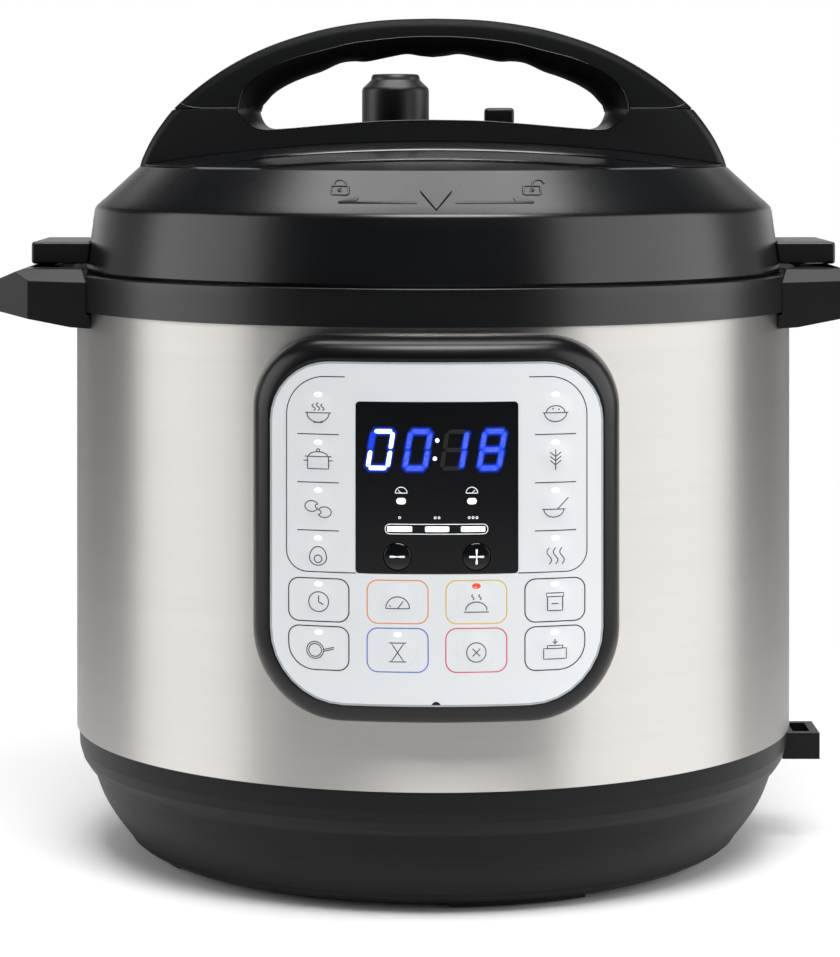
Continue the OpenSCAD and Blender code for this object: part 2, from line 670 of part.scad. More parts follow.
module handle_hole(flare = 0) {
    a = [for (p = spline(window_half(flare), 2)) [p[0], top_z + p[1]]];
    b = [for (i = [len(a) - 2:-1:1]) [-a[i][0], a[i][1]]];
    polygon(concat(a, b));
}

// Depths of the slabs that build up the flared opening, as shares of the handle's depth
SLABS = [0.36, 0.62, 0.8, 0.91];

module handle_bar() {
    for (share = SLABS) front_block(0, 0, -handle_d / 2 * share, handle_d / 2 * share) difference() {
        handle_face();
        handle_hole(1 - sqrt(1 - share * share));
    }
    front_block(0, 0, -handle_d / 2, handle_d / 2) difference() {
        handle_face(1.4);
        handle_hole(1);
    }
}

module handle_grip() color("#232628") difference() {
    handle_bar();
    translate([-lid_r, -50, shoulder_z - 60]) cube([2 * lid_r, 100, 60 + part_z - shoulder_z + 0.1]);
    for (s = [-1, 1]) translate([s * screw_x, 0, part_z - 10]) cylinder(r = 2, h = 20);
}

// Low step of the lid top, cut straight at the front and back and round at the sides
module terrace(half, rise) difference() {
    intersection() {
        translate([-shoulder_r, -half, shoulder_z - 10]) cube([2 * shoulder_r, 2 * half, 40]);
        translate([0, 0, shoulder_z - 10]) cylinder(r = shoulder_r - 1.5, h = 40);
        dome_ball(-rise);
    }
    dome_ball(0);
}

module handle_base() color("#1f2224") difference() {
    union() {
        difference() {
            handle_bar();
            translate([-lid_r, -50, part_z]) cube([2 * lid_r, 100, 60]);
            lid_solid(0, 5);
        }
        terrace(22, 1.6);
        terrace(66, 0.9);
        terrace(93, 0.45);
    }
    translate([knob_x, knob_y, shoulder_z - 8]) cylinder(r = 15, h = 60);
    translate([float_x, float_y, shoulder_z - 8]) cylinder(r = 5, h = 60);
    for (s = [-1, 1]) translate([s * screw_x, 0, shoulder_z - 10]) cylinder(r = 2, h = 60);
}

// Screws that hold the grip, the lid and the metal lid together, with their nuts
module handle_screws() color("#a5a8ab") for (s = [-1, 1]) translate([s * screw_x, 0, 0]) {
    translate([0, 0, metal_z - 4]) cylinder(r = 2, h = part_z - metal_z + 12);
    translate([0, 0, metal_z - 3]) cylinder(r = 5, h = 3, $fn = 6);
}

module inner_lid() color("#c6c8c9") difference() {
    union() {
        translate([0, 0, metal_z]) cylinder(r = skirt_out, h = metal_t);
        tube(skirt_out, skirt_in, lid_lug_z, metal_z + 0.5);
        for (i = [0:lug_n - 1])
            sector(lug_r - 3, skirt_in + 0.8, lid_lug_z, lid_lug_z + lug_h, 60 * i + 8, lid_lug_a);
    }
    for (s = [-1, 1]) translate([s * screw_x, 0, metal_z - 2]) cylinder(r = 2, h = 6);
    translate([knob_x, knob_y, metal_z - 2]) cylinder(r = 4, h = 6);
    translate([float_x, float_y, metal_z - 2]) cylinder(r = 4.2, h = 6);
    rotate([0, 0, 45]) translate([pin_r, 0, metal_z - 2]) cylinder(r = 2.2, h = 6);
}

module ring_rack() color("#b7babc") {
    tube(seal_in - 1.2, seal_in - 3.6, metal_z - 9, metal_z);
    tube(seal_in + 2.6, seal_in - 3.6, metal_z - 9.4, metal_z - 8.2);
}

module sealing_ring() color("#dfe2e0") rotate_extrude() polygon([
    [seal_in, metal_z - run], [seal_out, metal_z - run], [seal_out, seal_z + 3],
    [seal_out - 1.6, seal_z], [seal_out - 5, seal_z], [seal_out - 5, seal_z + 3],
    [seal_in + 4, seal_z + 5], [seal_in, seal_z + 5]]);

module vent_pipe() color("#c2c4c6") translate([knob_x, knob_y, 0]) difference() {
    union() {
        translate([0, 0, metal_z - 6]) cylinder(r = 4, h = dome(47) - metal_z + 14);
        translate([0, 0, metal_z - 4]) cylinder(r = 7.5, h = 4);
        translate([0, 0, metal_z + metal_t]) cylinder(r = 7.5, h = 4, $fn = 6);
    }
    translate([0, 0, metal_z - 7]) cylinder(r = 1.8, h = 80);
}

module anti_block_shield() color("#b9bcbe") translate([knob_x, knob_y, 0]) difference() {
    translate([0, 0, metal_z - 18]) cylinder(r = 14, h = 17.9);
    translate([0, 0, metal_z - 16.8]) cylinder(r = 12.8, h = 20);
    for (a = [0:30:150]) rotate([0, 0, a]) translate([-20, -1.2, metal_z - 14.5])
        cube([40, 2.4, 8]);
}

module locking_pin() color("#bfc1c3") rotate([0, 0, 45]) translate([pin_r, 0, 0]) {
    translate([0, 0, metal_z - 5]) cylinder(r = 2.2, h = 14);
    translate([0, 0, metal_z - 1.8]) cylinder(r = 4, h = 1.8);
}

module float_valve() color("#c4a24e") translate([float_x, float_y, 0]) {
    translate([0, 0, metal_z - 8]) cylinder(r = 3.7, h = dome(64) - metal_z + 8.4);
    translate([0, 0, metal_z + metal_t + 0.8]) cylinder(r = 6.4, h = 1.8);
}

module float_seal() color("#e3e6e2") translate([float_x, float_y, 0]) difference() {
    translate([0, 0, metal_z - 8.6]) cylinder(r = 6, h = 3.2);
    translate([0, 0, metal_z - 8]) cylinder(r = 3.7, h = 6);
}

knob_z = dome(47) + 1.4;

module steam_weight() color("#b4b7b9") translate([knob_x, knob_y, 0]) difference() {
    translate([0, 0, knob_z + 7.4]) cylinder(r = 8.6, h = 12);
    translate([0, 0, knob_z]) cylinder(r = 4.3, h = 10.6);
}

module steam_knob() color("#26292c") translate([knob_x, knob_y, 0]) difference() {
    union() {
        translate([0, 0, knob_z]) cylinder(r = 13.5, h = 22.2);
        translate([0, 0, knob_z + 22.2]) cylinder(r1 = 13.5, r2 = 9.5, h = 5.2);
        translate([8, -5.8, knob_z + 1.4]) cube([39.6, 11.6, 6]);
        translate([35.8, -5.8, knob_z + 7.2]) cube([11.8, 11.6, 6.6]);
    }
    translate([0, 0, knob_z - 1]) cylinder(r = 8.9, h = 21.2);
}

// ---------- condensation collector ----------

collector_y = body_r + 2.4;
collector_top = rim_z + 2.6;

module condensation_collector() color("#c8ccce") difference() {
    translate([-collector_w / 2, collector_y, collector_top - collector_h]) cube([collector_w, collector_d, collector_h]);
    translate([-collector_w / 2 + 1.8, collector_y + 1.8, collector_top - collector_h + 1.8])
        cube([collector_w - 3.6, collector_d - 3.6, collector_h - 10]);
    // Room for the rails and the spout
    translate([-collector_w / 2 + 2.6, collector_y - 1, rim_z - 3.2]) cube([collector_w - 5.2, 13, 3.8]);
    translate([-collector_w / 2 + 4, collector_y + 1.8, rim_z - 8])
        cube([collector_w - 8, collector_d - 3.6, 8]);
    translate([-18.6, collector_y - 1, rim_z]) cube([37.2, 14.4, 20]);
}

// ---------- assembly ----------

base_shell();
bottom_plate();
rubber_feet();
case_screws();
outer_shell();
top_ring();
side_handles();
outer_pot();
heating_plate();
plate_studs();
element_terminals();
sensor_cup();
temperature_sensor();
sensor_spring();
pressure_switch();
thermal_fuse();
power_board();
inlet_socket();
inlet_pins();
panel_bezel();
panel_overlay();
display_window();
display_module();
indicator_lamps();
control_board();
inner_pot();
lid_cover();
lid_fins();
handle_base();
handle_grip();
handle_screws();
inner_lid();
ring_rack();
sealing_ring();
vent_pipe();
anti_block_shield();
locking_pin();
float_valve();
float_seal();
steam_weight();
steam_knob();
condensation_collector();
for (i = [0:3], s = [0, 1])
    key_cap((2 * s - 1) * side_x, side_key_z(i));
for (i = [0:3], r = [0, 1])
    key_cap(low_x[i], low_z[r]);
for (i = [0, 1]) step_key((2 * i - 1) * step_x);
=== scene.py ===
import json
import math
import bmesh
import bpy
from mathutils import Matrix, Vector

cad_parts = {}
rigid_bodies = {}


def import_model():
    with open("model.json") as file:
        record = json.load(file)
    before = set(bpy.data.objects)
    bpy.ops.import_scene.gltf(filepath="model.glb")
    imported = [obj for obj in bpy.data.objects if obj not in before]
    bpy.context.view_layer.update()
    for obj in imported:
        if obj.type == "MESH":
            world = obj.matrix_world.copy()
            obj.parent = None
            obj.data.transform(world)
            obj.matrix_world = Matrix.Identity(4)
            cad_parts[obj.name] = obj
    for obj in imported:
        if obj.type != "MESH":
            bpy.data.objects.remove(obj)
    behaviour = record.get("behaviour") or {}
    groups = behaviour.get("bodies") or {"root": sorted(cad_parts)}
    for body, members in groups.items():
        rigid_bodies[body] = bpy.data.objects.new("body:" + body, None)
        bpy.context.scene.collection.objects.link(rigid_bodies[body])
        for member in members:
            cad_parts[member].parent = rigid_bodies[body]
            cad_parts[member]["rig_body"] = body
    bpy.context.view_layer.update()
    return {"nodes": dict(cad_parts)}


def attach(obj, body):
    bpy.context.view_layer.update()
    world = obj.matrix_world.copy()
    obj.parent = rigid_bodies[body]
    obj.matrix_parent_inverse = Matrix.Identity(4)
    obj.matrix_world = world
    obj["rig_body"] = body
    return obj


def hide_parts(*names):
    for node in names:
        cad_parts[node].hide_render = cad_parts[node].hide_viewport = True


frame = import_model()
mm = 0.001
print("frame loaded:", len(frame["nodes"]), "nodes")


# Camera and studio
cameraSetup = {
    "place": (-0.0109, -1.1653, 0.2748),  # eye level is just above the top of the lid
    "sensor": 36, "focalPixels": 3003.5, "wide": 840, "high": 957,
    "axisColumn": 404.7, "horizonRow": 128.5,  # where the body's axis and eye level fall in the frame
}
view = cameraSetup
cameraData = bpy.data.cameras.new("studioCamera")
cameraData.lens = view["focalPixels"] * view["sensor"] / view["high"]
cameraData.sensor_width = view["sensor"]
cameraData.shift_x = (view["wide"] / 2 - view["axisColumn"]) / view["high"]
cameraData.shift_y = (view["horizonRow"] - view["high"] / 2) / view["high"]
camera = bpy.data.objects.new("studioCamera", cameraData)
camera.location = view["place"]
camera.rotation_euler = (math.pi / 2, 0, 0)
bpy.context.scene.collection.objects.link(camera)
bpy.context.scene.camera = camera
bpy.context.scene.view_settings.view_transform = "Standard"


def toLinear(hexText):
    values = [int(hexText[i:i + 2], 16) / 255 for i in (1, 3, 5)]
    return [v / 12.92 if v <= 0.04045 else ((v + 0.055) / 1.055) ** 2.4 for v in values] + [1.0]


def addNode(tree, kind, inputs=None, **settings):
    node = tree.nodes.new("ShaderNode" + kind)
    for name, value in settings.items():
        setattr(node, name, value)
    for socket, value in (inputs or {}).items():
        if isinstance(value, bpy.types.NodeSocket):
            tree.links.new(value, node.inputs[socket])
        else:
            node.inputs[socket].default_value = value
    return node


def addRamp(tree, factor, stops):
    node = addNode(tree, "ValToRGB", {"Fac": factor})
    node.color_ramp.interpolation = "EASE"
    elements = node.color_ramp.elements
    while len(elements) < len(stops):
        elements.new(0.5)
    for element, (place, value) in zip(elements, stops):
        element.position = place
        element.color = (value, value, value, 1)
    return node.outputs["Color"]


def mixColours(tree, factor, first, second, kind="MIX"):
    sockets = {"Fac": factor, "Color1": first, "Color2": second}
    return addNode(tree, "MixRGB", sockets, blend_type=kind).outputs[0]


def mapTo(tree, value, low, high):
    return addNode(tree, "MapRange", {"Value": value, "To Min": low, "To Max": high}).outputs[0]


softboxes = {
    "keyBox": {"place": (0.12, -0.95, 1.65), "target": (0, -0.13, 0.12), "size": (1.1, 0.7), "power": 34},
    "topBox": {"place": (-0.02, 0.12, 1.4), "target": (-0.02, 0.119, 0), "size": (1.05, 0.5), "power": 9.5},
    "leftBox": {"place": (-1.3, -0.28, 0.5), "target": (0, -0.28, 0.5), "size": (1.12, 0.96), "power": 7.7},
    "rightBox": {"place": (1.25, -0.42, 0.5), "target": (0, 0, 0.5), "size": (1.66, 0.96), "power": 12.5},
}


def addSoftbox(name, place, target, size, power):
    light = bpy.data.lights.new(name, "AREA")
    light.shape, light.energy = "RECTANGLE", power
    light.size, light.size_y = size
    lamp = bpy.data.objects.new(name, light)
    lamp.location = place
    lamp.rotation_mode = "QUATERNION"
    lamp.rotation_quaternion = (Vector(target) - Vector(place)).to_track_quat("-Z", "Y")
    bpy.context.scene.collection.objects.link(lamp)


for name, box in softboxes.items():
    addSoftbox(name, **box)

# Stops of place and brightness, from the front to the back of the room and from the floor up
roomTones = {
    "level": [(0.0, 0.03), (0.35, 0.05), (0.62, 0.3), (0.86, 0.42), (0.95, 1.0)],
    "height": [(0.0, 0.4), (0.13, 0.32), (0.22, 0.06), (1.0, 0.024)],  # dark overhead
    "stripHigh": [(0.33, 0.0), (0.36, 1.0), (0.46, 1.0), (0.5, 0.0)],
    "stripWide": [(0.9, 0.0), (0.94, 1.0)],
    "strength": 2.5,
}
world = bpy.data.worlds.new("studioWorld")
bpy.context.scene.world = world
world.use_nodes = True
tree = world.node_tree
tree.nodes.clear()
direction = addNode(tree, "SeparateXYZ", {"Vector": addNode(tree, "TexCoord").outputs["Generated"]})
behind = addNode(tree, "Math", {0: direction.outputs["Y"], 1: 0.5}, operation="MULTIPLY_ADD")
behind.inputs[2].default_value = 0.5  # 0 in front of the cooker, 1 straight behind it
upward = direction.outputs["Z"]
levelTone = addRamp(tree, behind.outputs[0], roomTones["level"])
wallTone = mixColours(tree, 1.0, levelTone, addRamp(tree, upward, roomTones["height"]), "MULTIPLY")
stripHigh = addRamp(tree, upward, roomTones["stripHigh"])
stripWide = addRamp(tree, behind.outputs[0], roomTones["stripWide"])
roomTone = mixColours(tree, 1.0, wallTone, mixColours(tree, 1.0, stripHigh, stripWide, "MULTIPLY"), "ADD")
paths = addNode(tree, "LightPath").outputs
seen = addNode(tree, "Math", {0: paths["Is Camera Ray"], 1: paths["Is Transmission Ray"]},
               operation="MAXIMUM")
room = addNode(tree, "Background", {"Color": roomTone, "Strength": roomTones["strength"]})
white = addNode(tree, "Background", {"Color": (1, 1, 1, 1), "Strength": 1.0})
mixed = addNode(tree, "MixShader", {0: seen.outputs[0], 1: room.outputs[0], 2: white.outputs[0]})
addNode(tree, "OutputWorld", {"Surface": mixed.outputs[0]})

floorSketch = {
    "size": 30, "lit": 0.26, "open": 0.5,  # radius that shows shadow, and where plain white starts
    "bounceFrom": 0.5, "bounceTo": 1.8, "bounce": [(0.0, 0.55), (1.0, 0.05)],
    "softened": [(0.2, 0.0), (0.34, 0.45), (0.52, 0.55), (1.0, 1.0)],  # shadows kept pale away from the feet
    "paper": (0.82, 0.82, 0.82, 1), "white": (1, 1, 1, 1),
}


def makeFloor():
    s = floorSketch
    bm = bmesh.new()
    bmesh.ops.create_grid(bm, x_segments=1, y_segments=1, size=s["size"])
    mesh = bpy.data.meshes.new("studioFloor")
    bm.to_mesh(mesh)
    bm.free()
    floor = bpy.data.objects.new("studioFloor", mesh)
    bpy.context.scene.collection.objects.link(floor)
    material = bpy.data.materials.new("palePaperFloor")
    material.use_nodes = True
    tree = material.node_tree
    tree.nodes.clear()
    cameraRay = addNode(tree, "LightPath").outputs["Is Camera Ray"]
    coords = addNode(tree, "TexCoord")
    radius = addNode(tree, "VectorMath", {0: coords.outputs["Object"]}, operation="LENGTH").outputs["Value"]
    far = addNode(tree, "MapRange", {"Value": radius, "From Min": s["lit"], "From Max": s["open"]},
                  interpolation_type="SMOOTHSTEP").outputs["Result"]
    paper = addNode(tree, "BsdfDiffuse", {"Color": mixColours(tree, cameraRay, s["paper"], s["white"])})
    distance = addNode(tree, "MapRange",
                       {"Value": radius, "From Min": s["bounceFrom"], "From Max": s["bounceTo"]})
    bounced = addRamp(tree, distance.outputs["Result"], s["bounce"])
    glow = mixColours(tree, cameraRay, bounced, s["white"])
    plain = addNode(tree, "Emission", {"Color": glow, "Strength": 1.0})
    share = addNode(tree, "Math", {0: radius, 1: s["open"]}, operation="DIVIDE")
    blend = mixColours(tree, cameraRay, far, addRamp(tree, share.outputs[0], s["softened"]))
    mixed = addNode(tree, "MixShader", {0: blend, 1: paper.outputs[0], 2: plain.outputs[0]})
    addNode(tree, "OutputMaterial", {"Surface": mixed.outputs[0]})
    mesh.materials.append(material)


makeFloor()
print("camera and studio set")


# Materials
def startMaterial(name):
    material = bpy.data.materials.new(name)
    material.use_nodes = True
    material.node_tree.nodes.clear()
    return material, material.node_tree


def patternCoords(tree, scale=(1, 1, 1)):
    coords = addNode(tree, "TexCoord")
    return addNode(tree, "Mapping", {"Vector": coords.outputs["Object"], "Scale": scale}).outputs[0]


# Fractal noise with its grain in millimetres, or set by the mapping's own scale
def grainNoise(tree, size=None, detail=2.0, scale=(1, 1, 1), roughness=0.5):
    return addNode(tree, "TexNoise",
                   {"Vector": patternCoords(tree, scale), "Scale": 1 / (size * mm) if size else 1.0,
                                      "Detail": detail, "Roughness": roughness}).outputs["Fac"]


def toned(tone, factor=1.0):
    return (*[min(1, c * factor) for c in toLinear(tone)[:3]], 1)


def relief(tree, height, strength, depth):
    return addNode(tree, "Bump", {"Height": height, "Strength": strength, "Distance": depth * mm}).outputs[0]


def closeMaterial(material, kind, inputs):
    surface = addNode(material.node_tree, kind, inputs)
    addNode(material.node_tree, "OutputMaterial", {"Surface": surface.outputs[0]})
    return material


# Injection-moulded satin plastic: even spark-eroded grain that softens every reflection
def mouldedPlastic(name, tone, roughness=0.4, grain=0.35, bump=0.03, specular=0.5, spread=0.06):
    material, tree = startMaterial(name)
    fine, broad = grainNoise(tree, grain, 2.0, roughness=0.6), grainNoise(tree, 38, 3.0)
    return closeMaterial(material, "BsdfPrincipled", {
        "Base Color": mixColours(tree, broad, toned(tone), toned(tone, 1 + spread * 3)),
        "Roughness": mapTo(tree, broad, roughness - 0.03, roughness + 0.03), "IOR": 1.5,
        "Specular IOR Level": specular, "Normal": relief(tree, fine, 0.5, bump)})


# Stainless sheet brushed round the body: hair-fine level lines, reflections drawn out up and down
def brushedSheet(name, tone, roughness=0.45, anisotropy=0.92, line=0.45):
    material, tree = startMaterial(name)
    across = 1 / (line * mm)
    lines = grainNoise(tree, None, 4.0, (9, 9, across), 0.7)
    soft = grainNoise(tree, None, 2.0, (5, 5, across / 14))
    mottle = mixColours(tree, 0.35, lines, soft)
    return closeMaterial(material, "BsdfPrincipled", {
        "Base Color": mixColours(tree, mottle, toned(tone, 0.9), toned(tone, 1.08)), "Metallic": 1.0,
        "Roughness": mapTo(tree, lines, roughness - 0.06, roughness + 0.06),
        "Anisotropic": anisotropy, "Anisotropic Rotation": 0.25, "Normal": relief(tree, lines, 0.25, 0.01),
        "Tangent": addNode(tree, "Tangent", direction_type="RADIAL", axis="Z").outputs[0]})


# Plain machined, plated or cast metal with a fine mottle
def plainMetal(name, tone, roughness=0.35, grain=0.8, bump=0.02):
    material, tree = startMaterial(name)
    mottle = grainNoise(tree, grain, 3.0)
    return closeMaterial(material, "BsdfPrincipled", {
        "Base Color": mixColours(tree, mottle, toned(tone, 0.88), toned(tone, 1.08)), "Metallic": 1.0,
        "Roughness": mapTo(tree, mottle, roughness - 0.05, roughness + 0.07),
        "Normal": relief(tree, mottle, 0.4, bump)})


# Clear or milky polycarbonate, silicone and lamp lenses
def clearPlastic(name, tone, roughness=0.2, transmission=0.7, grain=2.0):
    material, tree = startMaterial(name)
    haze = grainNoise(tree, grain)
    return closeMaterial(material, "BsdfPrincipled", {
        "Base Color": toned(tone), "Roughness": mapTo(tree, haze, roughness, roughness + 0.08), "IOR": 1.5,
        "Transmission Weight": transmission, "Normal": relief(tree, haze, 0.2, 0.05)})


# Printed ink or a lit segment
def printedInk(name, tone, roughness=0.5, glow=0.0):
    material, tree = startMaterial(name)
    grain = grainNoise(tree, 0.25, 1.0)
    return closeMaterial(material, "BsdfPrincipled", {
        "Base Color": toned(tone), "Roughness": mapTo(tree, grain, roughness - 0.05, roughness + 0.05),
        "Emission Color": toned(tone), "Emission Strength": glow})


# Light scattered inside the smoked window: clear where the vertex value is 0
def scatteredGlow(name, tone, power):
    material, tree = startMaterial(name)
    share = addNode(tree, "Attribute", attribute_name="glow")
    fade = addNode(tree, "Math", {0: share.outputs["Fac"], 1: 1.6}, operation="POWER")
    uneven = mapTo(tree, grainNoise(tree, 1.2, 1.0), 0.85, 1.0)
    factor = addNode(tree, "Math", {0: fade.outputs[0], 1: uneven}, operation="MULTIPLY")
    light = addNode(tree, "Emission", {"Color": toned(tone), "Strength": power})
    clear = addNode(tree, "BsdfTransparent")
    return closeMaterial(material, "MixShader",
                         {0: factor.outputs[0], 1: clear.outputs[0], 2: light.outputs[0]})


satinBlack = mouldedPlastic("mouldedAbsSatin", "#07080a", roughness=0.28, specular=0.5)
ringBlack = mouldedPlastic("mouldedAbsRing", "#07080a", roughness=0.31, specular=0.5)
gripBlack = mouldedPlastic("mouldedAbsGrained", "#0c0d0e", roughness=0.5, grain=0.5, bump=0.05, specular=0.13)
baseBlack = mouldedPlastic("mouldedPolypropylene", "#07080a", roughness=0.42, grain=0.5, specular=0.22)
bezelBlack = mouldedPlastic("mouldedAbsBezel", "#08080a", roughness=0.3, specular=0.36)
innerBlack = mouldedPlastic("mouldedNylonMatt", "#202224", roughness=0.6)
switchGrey = mouldedPlastic("phenolicSwitchBody", "#3a3d40", roughness=0.55)
rubberFoot = mouldedPlastic("nitrileRubber", "#26282a", roughness=0.75, grain=0.6, bump=0.06)
ceramicWhite = mouldedPlastic("glazedCeramicSleeve", "#d9d6cc", roughness=0.35, spread=0.02)
boardGreen = mouldedPlastic("glassEpoxyBoard", "#2f5d46", roughness=0.35, grain=0.6, spread=0.08)
silverFilm = mouldedPlastic("silverInkedPolyester", "#d9dcdf", roughness=0.38, grain=0.3, bump=0.01,
                            spread=0.01)
smokedWindow = mouldedPlastic("smokedAcrylic", "#0b0c0e", roughness=0.12, grain=1.5, bump=0.0, specular=0.5)
steelSheet = brushedSheet("brushedStainlessSheet", "#d2cfcb")
potSteel = brushedSheet("spunStainless", "#c4c5c6", roughness=0.22, anisotropy=0.5, line=0.8)
platedSteel = plainMetal("zincPlatedSteel", "#9a9da0", 0.32)
springSteel = plainMetal("springSteelWire", "#b0b3b5", 0.28)
castAluminium = plainMetal("castAluminium", "#a9adb0", 0.48, grain=1.2, bump=0.05)
sheetAluminium = plainMetal("drawnAluminium", "#b9bcbe", 0.36)
terminalMetal = plainMetal("nickelPlatedTerminal", "#b8b4a8", 0.3)
pinBrass = plainMetal("brassPin", "#c7b98a", 0.28)
anodisedFloat = plainMetal("anodisedAluminiumFloat", "#c8b06a", 0.35)
clearSilicone = clearPlastic("milkySilicone", "#dfe2e0", 0.45, 0.35)
clearCup = clearPlastic("clearPolycarbonate", "#dfe4e6", 0.12, 0.82)
lampLens = clearPlastic("lampLens", "#f2f0e8", 0.3, 0.4)
inkBlack = printedInk("screenInkBlack", "#17181a")
inkOrange = printedInk("screenInkOrange", "#e58a4c")
inkYellow = printedInk("screenInkYellow", "#dcb53c")
inkBlue = printedInk("screenInkBlue", "#4a6fc0")
inkRed = printedInk("screenInkRed", "#d2475c")
# White print with a faint glow added to its colour; on the −/+ signs, which have no lamp behind them, that
# glow is painted light
inkWhiteFaintGlow = printedInk("screenInkWhiteFaintGlow", "#eef1f4", glow=0.15)
litWhite = printedInk("litDigitBar", "#e9f6ff", glow=1.0)
litDot = printedInk("clearLampWindow", "#f2f5f7", glow=0.12)
litRed = printedInk("litRedLamp", "#d8421c", glow=0.35)
inkLabel = printedInk("screenInkLabel", "#3b3e42")
unlitBar = printedInk("unlitDigitBar", "#1d1a1a", roughness=0.4)
litMark = printedInk("litDisplayMark", "#ffffff", glow=0.75)
blueGlow = scatteredGlow("scatteredBlueLight", "#2450ff", 1.0)
saddleBlack = mouldedPlastic("mouldedAbsSaddle", "#08090b", roughness=0.42, specular=0.35)
knobBlack = mouldedPlastic("mouldedNylonSatin", "#121316", roughness=0.42, specular=0.6)
filmGrey = mouldedPlastic("filmEdgeGrey", "#9da3a8", roughness=0.4, spread=0.02)
finBlack = mouldedPlastic("mouldedAbsFin", "#08090a", roughness=0.36, specular=0.5)
handleBlack = mouldedPlastic("mouldedAbsSideHandle", "#090a0b", roughness=0.42, specular=0.36)
terraceBlack = mouldedPlastic("mouldedAbsGloss", "#08090b", roughness=0.13, bump=0.004, specular=0.7)

nodeFinish = {
    satinBlack: ["lid_cover", "lid_fins", "handle_base"], gripBlack: ["handle_grip"],
    ringBlack: ["top_ring", "side_handles"], baseBlack: ["base_shell"],
    bezelBlack: ["panel_bezel", "steam_knob"],
    innerBlack: ["inlet_socket", "display_module"], switchGrey: ["pressure_switch"],
    rubberFoot: ["rubber_feet"],
    ceramicWhite: ["thermal_fuse"], boardGreen: ["power_board", "control_board"],
    silverFilm: ["panel_overlay"], smokedWindow: ["display_window", "key_minus", "key_plus"],
    steelSheet: ["outer_shell"],
    potSteel: ["inner_pot", "inner_lid", "steam_weight", "vent_pipe", "anti_block_shield"],
    platedSteel: ["bottom_plate", "case_screws", "plate_studs", "handle_screws", "sensor_cup", "ring_rack",
                  "locking_pin"],
    springSteel: ["sensor_spring", "temperature_sensor"], castAluminium: ["heating_plate"],
    sheetAluminium: ["outer_pot"],
    terminalMetal: ["element_terminals"], pinBrass: ["inlet_pins"], anodisedFloat: ["float_valve"],
    clearSilicone: ["sealing_ring", "float_seal"], clearCup: ["condensation_collector"],
    lampLens: ["indicator_lamps"],
}
keyNames = [f"key_{column}_{i}" for column in ("left", "right", "upper", "lower") for i in range(1, 5)]
nodeFinish[silverFilm] += keyNames
for finish, names in nodeFinish.items():
    for name in names:
        node = frame["nodes"][name]
        node.data.materials.clear()
        node.data.materials.append(finish)
unfinished = set(frame["nodes"]) - {name for names in nodeFinish.values() for name in names}
print("finishes on", len(frame["nodes"]) - len(unfinished), "nodes; without:", sorted(unfinished))


# Builders shared by the pieces
def newPiece(name, bm, material, body, replaced=(), slotName=None, sharp=30):
    mesh = bpy.data.meshes.new(name)
    bmesh.ops.recalc_face_normals(bm, faces=bm.faces)
    bm.to_mesh(mesh)
    bm.free()
    for face in mesh.polygons:
        face.use_smooth = True
    mesh.set_sharp_from_angle(angle=math.radians(sharp))
    piece = bpy.data.objects.new(name, mesh)
    bpy.context.scene.collection.objects.link(piece)
    mesh.materials.append(material)
    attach(piece, body)
    if replaced:
        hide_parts(*replaced)
    return piece


def addBevel(piece, width, segments=2, angle=35):
    bevel = piece.modifiers.new("edgeBevel", "BEVEL")
    bevel.width, bevel.segments, bevel.limit_method = width * mm, segments, "ANGLE"
    bevel.angle_limit = math.radians(angle)
    bevel.harden_normals = True
    return piece


# Strokes are drawn flat, x across and z up, as round wires of the ink's width
def fineSteps(path, step=1.5):
    points = [path[0]]
    for start, end in zip(path, path[1:]):
        count = max(1, math.ceil(math.dist(start, end) / step))
        points += [tuple(a + (b - a) * i / count for a, b in zip(start, end))
                   for i in range(1, count)] + [end]
    return points


# Round wires along loops or lines, each given as its points and whether it closes
def wireMesh(runs, radius, resolution):
    curve = bpy.data.curves.new("wires", "CURVE")
    curve.dimensions, curve.bevel_depth = "3D", radius
    curve.bevel_resolution, curve.use_fill_caps = resolution, True
    for points, closed in runs:
        spline = curve.splines.new("POLY")
        spline.points.add(len(points) - 1)
        spline.use_cyclic_u = closed
        for point, place in zip(spline.points, points):
            point.co = (*place, 1)
    holder = bpy.data.objects.new("wires", curve)
    bpy.context.scene.collection.objects.link(holder)
    mesh = bpy.data.meshes.new_from_object(holder.evaluated_get(bpy.context.evaluated_depsgraph_get()))
    bpy.data.objects.remove(holder)
    bpy.data.curves.remove(curve)
    bm = bmesh.new()
    bm.from_mesh(mesh)
    bpy.data.meshes.remove(mesh)
    return bm


def strokeMesh(paths, width, relief=0.12):
    runs = []
    for path in map(fineSteps, paths):
        closed = path[0] == path[-1]
        runs.append(([(x, 0, z) for x, z in (path[:-1] if closed else path)], closed))
    bm = wireMesh(runs, width / 2, 1)
    bmesh.ops.scale(bm, vec=(1, relief, 1), verts=bm.verts)
    return bm


def arcPoints(centre, radius, start, end, count=12, squash=1.0):
    turns = [math.radians(start + (end - start) * i / count) for i in range(count + 1)]
    return [(centre[0] + radius * math.cos(a), centre[1] + radius * squash * math.sin(a)) for a in turns]


# Corner radii run lower left, lower right, upper right, upper left; the loop closes on itself
def roundedLoop(left, bottom, right, top, radii, count=8):
    corners = [(left, bottom, 180), (right, bottom, 270), (right, top, 0), (left, top, 90)]
    points = []
    for (x, z, start), r in zip(corners, radii):
        inward = (r if x == left else -r, r if z == bottom else -r)
        points += arcPoints((x + inward[0], z + inward[1]), r, start, start + 90, count)
    return points + points[:1]


def standUp(bm, verts):
    bmesh.ops.rotate(bm, matrix=Matrix.Rotation(math.pi / 2, 3, "X"), verts=verts)


def addDisc(bm, radius, segments, x=0, z=0):
    verts = bmesh.ops.create_circle(bm, cap_ends=True, segments=segments, radius=radius)["verts"]
    standUp(bm, verts)
    bmesh.ops.translate(bm, vec=(x, 0, z), verts=verts)
    return bm


def pick(geom, kind):
    return [item for item in geom if isinstance(item, kind)]


